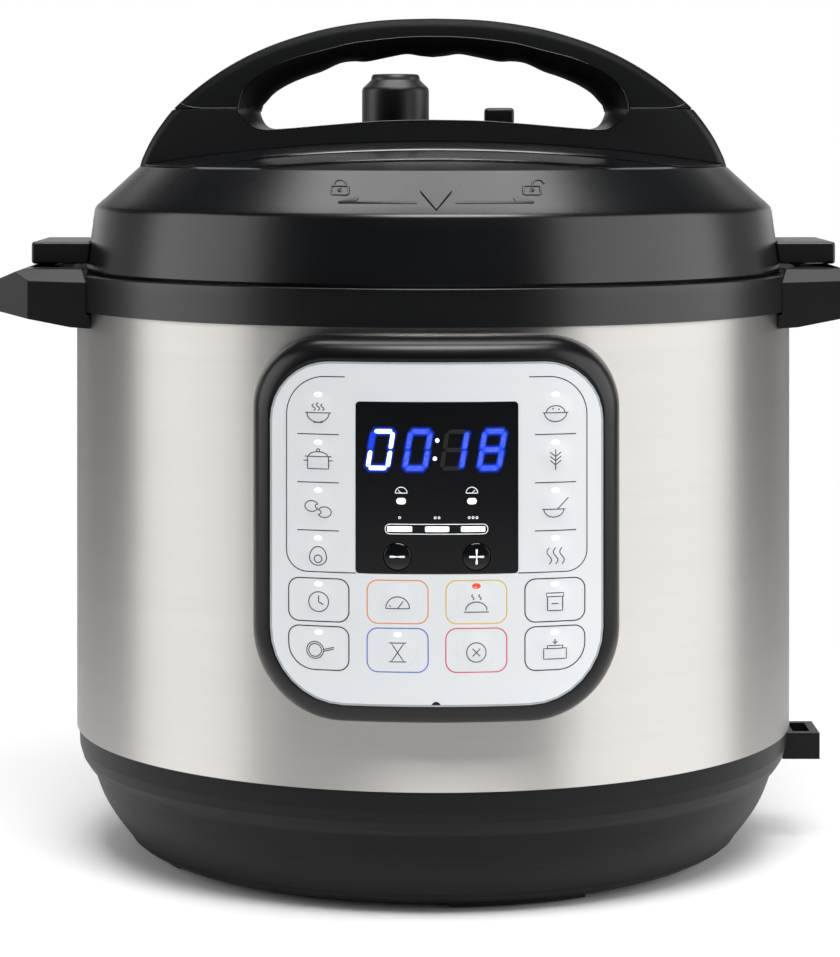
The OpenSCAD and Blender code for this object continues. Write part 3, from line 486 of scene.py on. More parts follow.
def sliceAt(bm, place, normal, **settings):
    geom = bm.verts[:] + bm.edges[:] + bm.faces[:]
    return bmesh.ops.bisect_plane(bm, geom=geom, plane_co=place, plane_no=normal, **settings)["geom_cut"]


def spinProfile(points, axis, steps):
    bm = bmesh.new()
    verts = [bm.verts.new(p) for p in points]
    edges = [bm.edges.new(pair) for pair in zip(verts, verts[1:])]
    bmesh.ops.spin(bm, geom=verts + edges, axis=axis, cent=(0, 0, 0), angle=2 * math.pi, steps=steps,
                   use_merge=True)
    bmesh.ops.remove_doubles(bm, verts=bm.verts, dist=1e-4)
    return bm


def flatPatch(left, bottom, right, top, radius, segments=3):
    bm = bmesh.new()
    bmesh.ops.create_grid(bm, x_segments=1, y_segments=1, size=0.5)
    standUp(bm, bm.verts)
    bmesh.ops.scale(bm, vec=(right - left, 1, top - bottom), verts=bm.verts)
    bmesh.ops.translate(bm, vec=((left + right) / 2, 0, (bottom + top) / 2), verts=bm.verts)
    if radius:
        bmesh.ops.bevel(bm, geom=bm.verts[:], offset=radius, segments=segments, profile=0.5,
                        affect="VERTICES", material=-1)
    return bm


def joinInto(target, *others):
    for other in others:
        mesh = bpy.data.meshes.new("joining")
        other.to_mesh(mesh)
        other.free()
        target.from_mesh(mesh)
        bpy.data.meshes.remove(mesh)
    return target


def sliceUpright(bm, spacing):
    span = max(abs(v.co.x) for v in bm.verts)
    for i in range(-int(span / spacing), int(span / spacing) + 1):
        sliceAt(bm, (i * spacing, 0, 0), (1, 0, 0))


panel = {
    "radius": 151.6, "stroke": 0.42, "pictureStroke": 0.42,
    "keyRadius": 6.62, "keyRise": 0.6, "domeSteps": 9, "capFoot": 0.5,
    "sideKeys": [179.6, 163.35, 147.1, 130.85], "lowKeys": [-40.1, -13.3, 13.3, 40.1], "sideX": 40.3,
    "lowZ": {"upper": 115.3, "lower": 98.9}, "signZ": 130.2, "signX": 13.4,
}


# y measured outwards from the film becomes height above the panel's curved face
def wrapOnPanel(bm, raise_=0.0):
    for v in bm.verts:
        reach = panel["radius"] + raise_ - v.co.y
        v.co = Vector((v.co.x, -math.sqrt(reach ** 2 - v.co.x ** 2), v.co.z))
    bmesh.ops.scale(bm, vec=(mm, mm, mm), verts=bm.verts)
    return bm


def inkPiece(name, bm, material, raise_, body, slotName, spacing=3.0):
    if spacing:
        sliceUpright(bm, spacing)
    return newPiece(name, wrapOnPanel(bm, raise_), material, body, slotName=slotName)


print("builders ready")


# Graphics of the control panel
frameSketch = {
    "side": 51.15, "sideTop": 177.6, "sideLow": 131.6, "topX": 31.2, "topZ": 190.7, "cornerLow": 7.2,
    "lowX": 27.5, "separators": [171.1, 154.75, 138.45], "separatorIn": 33.2, "separatorOut": 47.4,
}
notchRadius = frameSketch["topZ"] - frameSketch["sideTop"]


def frameLine(sign):
    s = frameSketch
    top = arcPoints((s["side"] - notchRadius, s["sideTop"]), notchRadius, 90, 0)
    low = arcPoints((s["side"] - s["cornerLow"], s["sideLow"]), s["cornerLow"], 0, -90)
    path = [(s["topX"], s["topZ"])] + top + low + [(s["lowX"], s["sideLow"] - s["cornerLow"])]
    return [(sign * x, z) for x, z in path]


lines = [frameLine(-1), frameLine(1)]
for z in frameSketch["separators"]:
    for sign in (-1, 1):
        inner, outer = sign * frameSketch["separatorIn"], sign * frameSketch["separatorOut"]
        steps = [inner + (outer - inner) * i / 5 for i in range(6)]
        lines.append([(x, z) for x in steps])
inkPiece("panelFrameLines", strokeMesh(lines, panel["stroke"]), inkBlack, 0.0, "housing", "panel_silver", 0)

keyOutlines = {
    "upper": {"low": 107.6, "high": 122.2, "inks": [inkBlack, inkOrange, inkYellow, inkBlack]},
    "lower": {"low": 91.2, "high": 106.0, "inks": [inkBlack, inkBlue, inkRed, inkBlack]},
}
outlineHalf = 10.3
for row, sketch in keyOutlines.items():
    for i, (x, ink) in enumerate(zip(panel["lowKeys"], sketch["inks"])):
        radii = [3.6] * 4
        if row == "lower" and i in (0, 3):
            radii[i // 3] = 9.0
        outline = roundedLoop(x - outlineHalf, sketch["low"], x + outlineHalf, sketch["high"], radii)
        inkPiece(f"outline_{row}_{i + 1}", strokeMesh([outline], panel["stroke"]), ink, 0.0, "housing",
                 "panel_silver", 0)
print("panel lines and key outlines printed")


def ring(x, z, r, start=0, end=360, squash=1.0):
    path = arcPoints((x, z), r, start, end, 20, squash)
    if end - start == 360:
        path[-1] = path[0]
    return path


def wave(x, low, high, swing=0.55):
    return [(x + swing * math.sin(2 * math.pi * i / 12), low + (high - low) * i / 12) for i in range(13)]


# Each key carries a small generic picture of its programme, drawn in millimetres about its own centre
pictures = {
    "bowl": [ring(0, 0.4, 3.8, 180, 360, 0.85), [(-4.4, 0.4), (4.4, 0.4)],
             [(-1.6, -2.9), (1.6, -2.9)]],
    "steamOverBowl": [wave(-1.5, 1.2, 3.4), wave(0, 1.2, 3.8), wave(1.5, 1.2, 3.4)],
    "stewPot": [[(-3.6, 1.2), (-3.6, -3.0), (3.6, -3.0), (3.6, 1.2)], [(-4.6, 1.2), (4.6, 1.2)],
                ring(0, 1.2, 3.3, 0, 180, 0.5), ring(0, 3.3, 0.5), [(-5.0, -0.2), (-3.6, -0.2)],
                [(3.6, -0.2), (5.0, -0.2)]],
    "beans": [ring(-2.2, 0.6, 2.3, 20, 340, 0.8), ring(2.2, -1.4, 2.3, 200, 520, 0.8),
              ring(-0.2, 0.6, 0.7, 90, 270), ring(0.3, -1.4, 0.7, -90, 90)],
    "egg": [ring(0, -0.6, 2.9, 180, 360, 0.9), ring(0, -0.6, 2.9, 0, 180, 1.3), ring(0, -1.0, 1.3)],
    "grainBowl": [ring(0, -0.2, 3.8, 180, 360, 0.8), [(-4.4, -0.2), (4.4, -0.2)],
                  ring(0, -0.2, 3.2, 0, 180, 0.75),
                  [(-1.2, 0.9), (-0.6, 1.5)], [(0.8, 0.7), (1.4, 1.1)]],
    "wheatEar": [[(0, -3.4), (0, 3.6)]] + [
        [(0, z), (side * 1.9, z + 1.5)] for z in (-1.6, -0.2, 1.2) for side in (-1, 1)],
    "spoonBowl": [ring(-0.6, -0.4, 3.4, 180, 360, 0.8), [(-4.6, -0.4), (3.4, -0.4)],
                  [(0.6, -0.4), (4.4, 3.4)]],
    "steam": [wave(-2.2, -2.8, 2.8, 0.8), wave(0, -2.8, 2.8, 0.8), wave(2.2, -2.8, 2.8, 0.8)],
    "clock": [ring(0, 0, 3.4), [(0, 2.2), (0, 0), (1.6, -0.9)]],
    "gauge": [ring(0, -1.6, 4.0, 0, 180), [(-4.0, -1.6), (4.0, -1.6)], [(0, -1.6), (1.9, 0.9)],
              [(-2.9, -0.6), (-2.3, -0.8)]],
    "warmDish": [[(-4.2, -2.8), (4.2, -2.8)], ring(0, -2.2, 3.6, 0, 180, 0.8),
                 wave(-1.2, 1.4, 3.2, 0.4), wave(1.2, 1.4, 3.2, 0.4)],
    "jar": [[(-2.6, 1.8), (-2.6, -3.0), (2.6, -3.0), (2.6, 1.8)],
            [(-2.9, 1.8), (2.9, 1.8), (2.9, 3.0), (-2.9, 3.0), (-2.9, 1.8)],
            [(-1.2, -0.6), (1.2, -0.6)]],
    "fryPan": [ring(-1.2, 0, 2.9), ring(-1.2, 0, 2.2), [(1.7, 0.3), (5.2, 1.1)],
               [(1.7, -0.3), (5.2, 0.5)]],
    "hourglass": [[(-2.2, 3.2), (2.2, 3.2), (-2.2, -3.2), (2.2, -3.2), (-2.2, 3.2)],
                  [(-2.9, 3.2), (2.9, 3.2)], [(-2.9, -3.2), (2.9, -3.2)]],
    "stop": [ring(0, 0, 3.3), [(-1.3, -1.3), (1.3, 1.3)], [(-1.3, 1.3), (1.3, -1.3)]],
    "lockedPot": [[(-3.9, 0.6), (-3.9, -3.0), (3.9, -3.0), (3.9, 0.6), (-3.9, 0.6)],
                  [(-2.6, 0.6), (-2.6, 1.6), (2.6, 1.6), (2.6, 0.6)],
                  [(0, 3.8), (0, 2.2)], [(-0.8, 3.0), (0, 2.2), (0.8, 3.0)]],
}
pictures["soup"] = [[(x, z - 0.6) for x, z in path] for path in pictures["bowl"] + pictures["steamOverBowl"]]
keyPictures = {
    "left": ["soup", "stewPot", "beans", "egg"], "right": ["grainBowl", "wheatEar", "spoonBowl", "steam"],
    "upper": ["clock", "gauge", "warmDish", "jar"], "lower": ["fryPan", "hourglass", "stop", "lockedPot"],
}
lampless = ("key_upper_2", "key_lower_3")
keyPaint = {"labelDrop": 1.0, "lampLift": 5.0, "lampHalf": (1.5, 0.95)}


def keyPlace(column, i):
    if column in ("left", "right"):
        return (-1 if column == "left" else 1) * panel["sideX"], panel["sideKeys"][i]
    return panel["lowKeys"][i], panel["lowZ"][column]


def domeHeight(r):
    share = min(1.0, r / panel["keyRadius"])
    return panel["keyRise"] * (1 - share * share) ** 2


# A printed shape lies on the film or, over a key, on the dome
def layOnDome(bm, x, z, lift=0.0):
    for v in bm.verts:
        v.co.y -= domeHeight(math.hypot(v.co.x, v.co.z)) + lift
    bmesh.ops.translate(bm, vec=(x, 0, z), verts=bm.verts)
    return bm


def keyCap(x, z):
    radius, count, foot = panel["keyRadius"], panel["domeSteps"], panel["capFoot"]
    profile = [(radius * i / count, -domeHeight(radius * i / count), 0) for i in range(count + 1)]
    bm = spinProfile(profile + [(radius, foot, 0), (0, foot, 0)], (0, 1, 0), 48)
    bmesh.ops.translate(bm, vec=(x, 0, z), verts=bm.verts)
    return wrapOnPanel(bm)


for column, names in keyPictures.items():
    for i, name in enumerate(names):
        key = f"key_{column}_{i + 1}"
        x, z = keyPlace(column, i)
        newPiece("cap_" + key, keyCap(x, z), silverFilm, key, [key], "panel_silver", sharp=40)
        lowered = [[(px, pz - keyPaint["labelDrop"]) for px, pz in path] for path in pictures[name]]
        label = strokeMesh(lowered, panel["pictureStroke"])
        inkPiece("picture_" + key, layOnDome(label, x, z), inkLabel, 0.0, key, "panel_silver", 0)
        if key in lampless:
            continue
        dot = addDisc(bmesh.new(), 1.0, 24)
        bmesh.ops.scale(dot, vec=(keyPaint["lampHalf"][0], 1, keyPaint["lampHalf"][1]), verts=dot.verts)
        bmesh.ops.translate(dot, vec=(0, 0, keyPaint["lampLift"]), verts=dot.verts)
        lamp = litRed if key == "key_upper_3" else litDot
        inkPiece("lampWindow_" + key, layOnDome(dot, x, z, 0.02), lamp, 0.0, key, "panel_silver", 0)
print("key caps, pictures and lamp windows made")


# Lit display
digitSketch = {
    "width": 6.7, "height": 12.4, "middle": 166.3, "slant": 0.156, "bar": 1.5, "gap": 0.62,
    "places": [-19.1, -6.5, 5.9, 18.6], "lit": ["abcdef", "abcdef", "bc", "abcdefg"], "halo": 1.1,
    "colon": [(0.1, 169.5), (-0.7, 163.4)], "colonRadius": 0.72,
    "rise": 0.12, "glowRise": 0.105, "glowLayer": 0.003,
}


# One bar of a seven-bar digit: a across the top, then clockwise to f, and g across the middle
def segmentBar(place, letter):
    s = digitSketch
    w, h = s["width"] / 2, s["height"] / 2
    sketch = {"a": (0, h, 0), "b": (w, h / 2, 1), "c": (w, -h / 2, 1), "d": (0, -h, 0), "e": (-w, -h / 2, 1),
              "f": (-w, h / 2, 1), "g": (0, 0, 0)}
    x, z, upright = sketch[letter]
    length = (h if upright else s["width"]) - s["gap"]
    across, along = (s["bar"], length) if upright else (length, s["bar"])
    bm = flatPatch(x - across / 2, z - along / 2, x + across / 2, z + along / 2, s["bar"] * 0.49, 2)
    for v in bm.verts:
        v.co.x += v.co.z * s["slant"] + place
        v.co.z += s["middle"]
    return bm


def colonDots():
    dots = bmesh.new()
    for x, z in digitSketch["colon"]:
        addDisc(dots, digitSketch["colonRadius"], 20, x, z)
    return dots


def litShapes():
    bm = colonDots()
    for place, letters in zip(digitSketch["places"], digitSketch["lit"]):
        joinInto(bm, *[segmentBar(place, letter) for letter in letters])
    return bm


inkPiece("litDigits", litShapes(), litWhite, digitSketch["rise"], "housing", "module_black")
ghost = joinInto(bmesh.new(), *[segmentBar(digitSketch["places"][2], letter) for letter in "adefg"])
inkPiece("unlitDigitBars", ghost, unlitBar, digitSketch["rise"], "housing", "module_black")


# The blue glow spreads from every lit bar and fades out: its strength is kept on the vertices
def haloOf(bm, spread):
    strength = bm.verts.layers.float.new("glow")
    outline = [e for e in bm.edges if e.is_boundary]
    centre = sum((v.co for v in bm.verts), Vector()) / len(bm.verts)
    for v in bm.verts:
        v[strength] = 1.0
    rim = pick(bmesh.ops.extrude_edge_only(bm, edges=outline)["geom"], bmesh.types.BMVert)
    span = Vector([max(abs((v.co - centre)[i]) for v in rim) for i in range(3)])
    bmesh.ops.scale(bm, vec=(1 + spread / span.x, 1, 1 + spread / span.z), space=Matrix.Translation(-centre),
                    verts=rim)
    for v in rim:
        v[strength] = 0.0
    return bm


glowShapes = bmesh.new()
glowShapes.verts.layers.float.new("glow")
count = 0
for place, letters in zip(digitSketch["places"], digitSketch["lit"]):
    for letter in letters:
        bar = haloOf(segmentBar(place, letter), digitSketch["halo"])
        bmesh.ops.translate(bar, vec=(0, -digitSketch["glowLayer"] * count, 0), verts=bar.verts)
        joinInto(glowShapes, bar)
        count += 1
inkPiece("digitGlow", glowShapes, blueGlow, digitSketch["glowRise"], "housing", "module_black")

displaySketch = {
    "lamps": [(-12.1, 149.0), (11.8, 149.0)], "lampHalf": (1.6, 1.05), "gaugeLift": 2.7,
    "track": (-17.5, 137.9, 17.2, 141.2), "bars": [(-16.8, -8.4), (-4.0, 4.1), (8.1, 16.3)], "barHalf": 0.92,
    "pipLift": 143.4, "stroke": 0.3,
}
whiteMarks = bmesh.new()
for x, z in displaySketch["lamps"]:
    half = displaySketch["lampHalf"]
    joinInto(whiteMarks, flatPatch(x - half[0], z - half[1], x + half[0], z + half[1], half[1] * 0.95, 4))
for left, right in displaySketch["bars"]:
    low = (displaySketch["track"][1] + displaySketch["track"][3]) / 2 - displaySketch["barHalf"]
    joinInto(whiteMarks, flatPatch(left, low, right, low + 2 * displaySketch["barHalf"], 0.35, 3))
inkPiece("displayLamps", whiteMarks, litMark, digitSketch["rise"], "housing", "module_black")
left, low, right, high = displaySketch["track"]
fineLines = [roundedLoop(left, low, right, high, [1.6] * 4)]
for sign, (x, z) in zip((-1, 1), displaySketch["lamps"]):
    z += displaySketch["gaugeLift"]
    fineLines += [ring(x, z, 2.0, 0, 180), [(x - 2.0, z), (x + 2.0, z)],
                  [(x, z), (x + sign * 1.05, z + 1.05)]]
for count, (left, right) in enumerate(displaySketch["bars"], start=1):
    middle = (left + right) / 2
    fineLines += [ring(middle + 1.3 * (i - (count - 1) / 2), displaySketch["pipLift"], 0.34)
                  for i in range(count)]
inkPiece("displayPrint", strokeMesh(fineLines, displaySketch["stroke"]), inkWhiteFaintGlow, digitSketch["rise"],
         "housing", "module_black", 0)

signSketch = {"half": 2.55, "stroke": 0.75, "relief": 0.3, "rise": 0.42}
for key, sign in (("key_minus", -1), ("key_plus", 1)):
    x, z, half = sign * panel["signX"], panel["signZ"], signSketch["half"]
    strokes = [[(x - half, z), (x + half, z)]]
    if sign > 0:
        strokes.append([(x, z - half), (x, z + half)])
    shape = strokeMesh(strokes, signSketch["stroke"], signSketch["relief"])
    # the signs' white print carries a faint painted glow
    inkPiece("sign_" + key, shape, inkWhiteFaintGlow, signSketch["rise"], key, "display_black", 0)
print("display lit")


# Lid and its handle
lid = {
    "shoulderZ": 260.0, "shoulderR": 113.5, "domeRise": 9.5, "domeR": 682.8, "creaseR": 127.8,
    "creaseZ": 246.9, "topZ": 317.0, "handleHalf": 113.5, "handleRise": 57.0, "halfDepth": 17.0,
    "partZ": 282.25,
    "knob": (-14.6, 45.0), "float": (44.0, 46.0),  # centres of the two openings in the cover
}


def domeZ(r):
    return lid["shoulderZ"] + math.sqrt(lid["domeR"] ** 2 - r * r) - (lid["domeR"] - lid["domeRise"])


# Curve through all the points, with its ends met straight on
def smoothPath(points, count):
    padded = [points[0]] + points + [points[-1]]
    path = []
    for a, b, c, d in zip(padded, padded[1:], padded[2:], padded[3:]):
        for i in range(count):
            t = i / count
            path.append(tuple(0.5 * (2 * q + (r - p) * t + (2 * p - 5 * q + 4 * r - s) * t ** 2
                                     + (3 * q - p - 3 * r + s) * t ** 3)
                              for p, q, r, s in zip(a, b, c, d)))
    return path + [points[-1]]


def blended(first, second, share):
    return [tuple(p + (q - p) * share for p, q in zip(a, b)) for a, b in zip(first, second)]


# Skin over closed loops of as many points each, every point joined to its partner in the next
def loftLoops(loops, wrapAround=False):
    bm = bmesh.new()
    order = bm.verts.layers.int.new("order")
    verts = [bm.verts.new(p) for p in loops[0]]
    for i, v in enumerate(verts):
        v[order] = i
    edges = [bm.edges.new(pair) for pair in zip(verts, verts[1:] + verts[:1])]
    for loop in loops[1:] + (loops[:1] if wrapAround else []):
        made = bmesh.ops.extrude_edge_only(bm, edges=edges)["geom"]
        fresh = set(pick(made, bmesh.types.BMVert))
        edges = [e for e in pick(made, bmesh.types.BMEdge) if fresh.issuperset(e.verts)]
        for v in fresh:
            v.co = loop[v[order]]
    bmesh.ops.remove_doubles(bm, verts=bm.verts, dist=1e-4)
    return bm


def inMetres(bm):
    bmesh.ops.scale(bm, vec=(mm, mm, mm), verts=bm.verts)
    return bm


# The first shape with the second taken out of it
def cutAway(bm, cutter):
    holders = []
    for part in (bm, cutter):
        bmesh.ops.recalc_face_normals(part, faces=part.faces)
        mesh = bpy.data.meshes.new("cutting")
        part.to_mesh(mesh)
        part.free()
        holders.append(bpy.data.objects.new("cutting", mesh))
        bpy.context.scene.collection.objects.link(holders[-1])
    boolean = holders[0].modifiers.new("cut", "BOOLEAN")
    boolean.object, boolean.operation, boolean.solver = holders[1], "DIFFERENCE", "EXACT"
    result = bpy.data.meshes.new_from_object(holders[0].evaluated_get(bpy.context.evaluated_depsgraph_get()))
    for holder in holders:
        mesh = holder.data
        bpy.data.objects.remove(holder)
        bpy.data.meshes.remove(mesh)
    out = bmesh.new()
    out.from_mesh(result)
    bpy.data.meshes.remove(result)
    return out


def roundBar(radius, place, low, high):
    bm = bmesh.new()
    bmesh.ops.create_cone(bm, cap_ends=True, segments=48, radius1=radius, radius2=radius, depth=high - low)
    bmesh.ops.translate(bm, vec=(*place, (low + high) / 2), verts=bm.verts)
    return bm


def block(low, high):
    bm = bmesh.new()
    bmesh.ops.create_cube(bm, size=1)
    bmesh.ops.scale(bm, vec=[b - a for a, b in zip(low, high)], verts=bm.verts)
    bmesh.ops.translate(bm, vec=[(a + b) / 2 for a, b in zip(low, high)], verts=bm.verts)
    return bm


# Half outlines, as on the CAD handle: the arch in shares, the opening in millimetres down from the top
handleSketch = {
    "arch": [(0, 1), (0.177, 0.987), (0.354, 0.935), (0.5, 0.853), (0.602, 0.772), (0.681, 0.69),
             (0.745, 0.609), (0.8, 0.528), (0.847, 0.447), (0.888, 0.367), (0.946, 0.205), (0.985, 0.045),
             (0.992, -0.03)],
    "scallop": [(0, -14.6), (5, -14.1), (10.3, -13.4), (17, -14.6), (25.6, -16.3), (30.5, -16.2), (36, -17),
                (43, -20.2), (49, -22.2), (55.8, -25.1), (61, -28.3), (64, -31.4), (66.6, -34.7)],
    "sill": [(66.2, -38), (64, -41.4), (60, -42.5), (54, -42.2), (35.5, -40.6), (18, -39.4), (0, -39)],
    "topFlare": [(0, -7.1), (5.5, -7.1), (11.5, -7.4), (18.5, -8), (27, -9), (33, -10), (39.5, -11.7),
                 (47.5, -13.7), (54.5, -15.7), (61.7, -18.6), (67.6, -22.4), (72.5, -27.5), (74.6, -34.7)],
    "sillFlare": [(73, -38), (69.5, -40.9), (65.3, -42.6), (57, -42.4), (37, -40.7), (19, -39.4), (0, -39)],
    "round": 3.6, "roundSteps": 5, "scoopSteps": 14, "creaseTurn": 26, "hub": (0, 285), "seam": 0.35,
    "footSteps": 12, "sink": 1.4,  # the foot follows the dome, a little below it
}


def windowHalf(flare):
    s = handleSketch
    inner, outer = s["scallop"] + s["sill"], s["topFlare"] + s["sillFlare"]
    return [(x, lid["topZ"] + drop) for x, drop in smoothPath(blended(inner, outer, flare), 4)]


def archHalf(inset):
    half, rise = lid["handleHalf"] - inset, lid["handleRise"] - inset
    arch = [(x * half, lid["shoulderZ"] + z * rise) for x, z in smoothPath(handleSketch["arch"], 5)]
    foot, count = arch[-1][0], handleSketch["footSteps"]
    return arch + [(foot * (1 - i / count), domeZ(foot * (1 - i / count)) - handleSketch["sink"])
                   for i in range(1, count + 1)]


# Where the ray from the hub through the point crosses the path
def meetRay(path, point):
    hub = handleSketch["hub"]
    dx, dz = point[0] - hub[0], point[1] - hub[1]
    for (x1, z1), (x2, z2) in zip(path, path[1:]):
        side1, side2 = dx * (z1 - hub[1]) - dz * (x1 - hub[0]), dx * (z2 - hub[1]) - dz * (x2 - hub[0])
        if side1 >= 0 >= side2 and side1 != side2:
            t = side1 / (side1 - side2)
            return x1 + (x2 - x1) * t, z1 + (z2 - z1) * t
    return path[-1] if dz < 0 else path[0]


def wholeLoop(half, y):
    mirrored = [(-x, z) for x, z in half[-2:0:-1]]
    return [(x, y, z) for x, z in half + mirrored]


def handleSolid():
    s, depth = handleSketch, lid["halfDepth"]
    guide, scoop, count = windowHalf(1), s["scoopSteps"], s["roundSteps"]
    loops = []
    start = math.radians(s["creaseTurn"])
    for i in range(scoop + 1):
        turn = start + (math.pi - 2 * start) * i / scoop
        flare = 1 - (math.sin(turn) - math.sin(start)) / (1 - math.sin(start))
        loops.append(wholeLoop(windowHalf(flare), -depth * math.cos(turn) / math.cos(start)))
    for side in (1, -1):
        for i in range(count + 1)[::side]:
            turn = math.radians(90 * i / count)
            half = [meetRay(archHalf(s["round"] * (1 - math.sin(turn))), p) for p in guide]
            loops.append(wholeLoop(half, side * (depth - s["round"] * (1 - math.cos(turn)))))
    return loftLoops(loops, wrapAround=True)


def keepSide(bm, z, above):
    sign = 1 if above else -1
    rim = pick(sliceAt(bm, (0, 0, z), (0, 0, -sign), clear_outer=True), bmesh.types.BMEdge)
    bmesh.ops.triangle_fill(bm, edges=rim, use_beauty=True)
    return bm


bow = newPiece("handleBow", inMetres(keepSide(handleSolid(), lid["partZ"] + handleSketch["seam"] / 2, True)),
               gripBlack, "lid", ["handle_grip"], "grip_plastic", sharp=28)
addBevel(bow, 0.35, 2, 28)
saddle = keepSide(handleSolid(), lid["partZ"] - handleSketch["seam"] / 2, False)
addBevel(newPiece("handleSaddle", inMetres(saddle), saddleBlack, "lid", ["handle_base"], "lid_plastic",
                  sharp=28), 0.3, 2, 28)
creaseLine = {"radius": 0.2, "lift": 0.04, "partLift": 0.3, "partX": (75.2, 88.5),
              "upturn": [(92.0, 0.3, 0), (94.0, 0.75, 0.1), (95.4, 1.3, 0.5), (96.2, 1.75, 1.2)]}

beadCount = 0
for side in (-1, 1):
    face = side * (lid["halfDepth"] + creaseLine["lift"])
    lines = [(wholeLoop(windowHalf(1), face), True)]
    for end in (-1, 1):
        rise = creaseLine["upturn"]
        straight = [(end * x, face, lid["partZ"] + creaseLine["partLift"]) for x in creaseLine["partX"]]
        lines.append((straight + [(end * x, face - side * back, lid["partZ"] + creaseLine["partLift"] + z)
                                  for x, z, back in rise], False))
    for points, closed in lines:
        beadCount += 1
        newPiece(f"handleBead_{beadCount}", inMetres(wireMesh([(points, closed)], creaseLine["radius"], 2)),
                 terraceBlack, "lid", slotName="lid_plastic", sharp=60)
seamCore = {"shrink": (0.994, 0.96, 1), "half": 1.0}  # dark filling that shows in the parting line
core = handleSolid()
bmesh.ops.scale(core, vec=seamCore["shrink"], verts=core.verts)
keepSide(core, lid["partZ"] + seamCore["half"], False)
newPiece("handleSeamCore", inMetres(keepSide(core, lid["partZ"] - seamCore["half"], True)), saddleBlack,
         "lid", slotName="lid_plastic")


terraces = [{"half": 22.0, "rise": 1.6, "droop": 0.28}, {"half": 66.0, "rise": 0.9, "droop": 0.26},
            {"half": 93.0, "rise": 0.45, "droop": 0.25}]
terraceSketch = {
    "rimGap": 1.5, "rings": 14, "skirt": 0.6, "topBand": 0.2, "rollCuts": (4.6, 3.6, 2.7, 1.9, 1.2, 0.6),
    "openings": ((lid["knob"], 14.6), (lid["float"], 5.0)), "cutZ": (240, 300),
}


def terrace(half, rise, droop):
    s = terraceSketch
    edge, count, drop, roll = lid["shoulderR"] - s["rimGap"], s["rings"], rise + s["skirt"], s["rollCuts"][0]
    profile = [(edge * i / count, 0, domeZ(edge * i / count) + rise) for i in range(count + 1)]
    profile += [(edge, 0, domeZ(edge) + rise - drop), (0, 0, domeZ(0) + rise - drop)]
    bm = spinProfile(profile, (0, 0, 1), 128)
    for sign in (-1, 1):
        rim = sliceAt(bm, (0, sign * half, 0), (0, sign, 0), clear_outer=True)
        bmesh.ops.triangle_fill(bm, edges=pick(rim, bmesh.types.BMEdge))
        for back in s["rollCuts"]:
            sliceAt(bm, (0, sign * (half - back), 0), (0, sign, 0))
    for v in bm.verts:
        onTop = v.co.z > domeZ(math.hypot(v.co.x, v.co.y)) + rise - s["topBand"]
        share = max(0.0, abs(v.co.y) - half + roll) / roll
        if onTop and share:
            v.co.z -= droop * share ** 2  # the front and back edges roll over
    for place, radius in s["openings"]:
        if half > abs(place[1]) - radius:
            bm = cutAway(bm, roundBar(radius, place, *s["cutZ"]))
    return bm


for i, sketch in enumerate(terraces, start=1):
    step = newPiece(f"lidTerrace_{i}", inMetres(terrace(**sketch)), terraceBlack, "lid",
                    slotName="lid_plastic", sharp=25)
    addBevel(step, 0.3, 3, 40)
print("handle and lid terraces made")


# Marks raised on the shoulder: x runs round the lid, z up the slope from the crease, y into the surface
def wrapOnShoulder(bm):
    run, climb = lid["creaseR"] - lid["shoulderR"], lid["shoulderZ"] - lid["creaseZ"]
    slope = math.hypot(run, climb)
    for v in bm.verts:
        share = v.co.z / slope
        r = lid["creaseR"] - run * share - v.co.y * climb / slope
        turn = v.co.x / (lid["creaseR"] - run * share)
        v.co = Vector((r * math.sin(turn), -r * math.cos(turn),
                       lid["creaseZ"] + climb * share - v.co.y * run / slope))
    return inMetres(bm)


shoulderMarks = {
    "arrowZ": 3.2, "arrowIn": 6.6, "arrowOut": 34.4, "headLength": 7.4, "headRise": 2.5, "headNotch": 1.2,
    "headBars": 4, "tipLift": 0.1, "lockX": 34.0, "lockZ": 10.4, "stroke": 0.85, "lockStroke": 0.9,
    "relief": 0.75,
}


triangleSketch = {"half": 5.7, "high": 9.2, "low": -0.6, "rise": 0.6, "corner": 0.5, "edge": 0.35}
padlockSketch = {"half": 3.2, "top": 1.2, "corner": 0.7, "shackle": 2.1, "shackleZ": 2.2, "swing": 2.4,
                 "hole": 0.5}


def padlock(x, z, opened):
    s = padlockSketch
    bend, top, half = s["shackle"], z + s["top"], s["half"]
    swing, turnZ = s["swing"] if opened else 0, z + s["shackleZ"]
    body = roundedLoop(x - half, z - half, x + half, top, [s["corner"]] * 4, 3)
    shackle = [(x - bend + swing, top), (x - bend + swing, turnZ)]
    shackle += arcPoints((x + swing, turnZ), bend, 180, 0, 10)
    return [body, shackle if opened else shackle + [(x + bend, top)], ring(x, z - 1.0, s["hole"])]


t = triangleSketch
pointer = bmesh.new()
bmesh.ops.create_circle(pointer, cap_ends=True, segments=3, radius=1)
bmesh.ops.rotate(pointer, matrix=Matrix.Rotation(math.pi, 3, "Z"), verts=pointer.verts)
standUp(pointer, pointer.verts)
spanX = max(abs(v.co.x) for v in pointer.verts)
lowZ, highZ = min(v.co.z for v in pointer.verts), max(v.co.z for v in pointer.verts)
for v in pointer.verts:
    share = (v.co.z - lowZ) / (highZ - lowZ)
    v.co.x *= t["half"] / spanX
    v.co.z = t["low"] + share * (t["high"] - t["low"])
plate = bmesh.ops.extrude_face_region(pointer, geom=pointer.faces[:])
bmesh.ops.translate(pointer, vec=(0, -t["rise"], 0), verts=pick(plate["geom"], bmesh.types.BMVert))
upright = [e for e in pointer.edges if abs(e.verts[0].co.y - e.verts[1].co.y) > 0.1]
bmesh.ops.bevel(pointer, geom=upright, offset=t["corner"], segments=3, profile=0.5, affect="EDGES",
                material=-1)
sliceUpright(pointer, 2.0)
pointer = newPiece("shoulderPointer", wrapOnShoulder(pointer), satinBlack, "lid", slotName="lid_plastic")
addBevel(pointer, t["edge"], 3, 40)
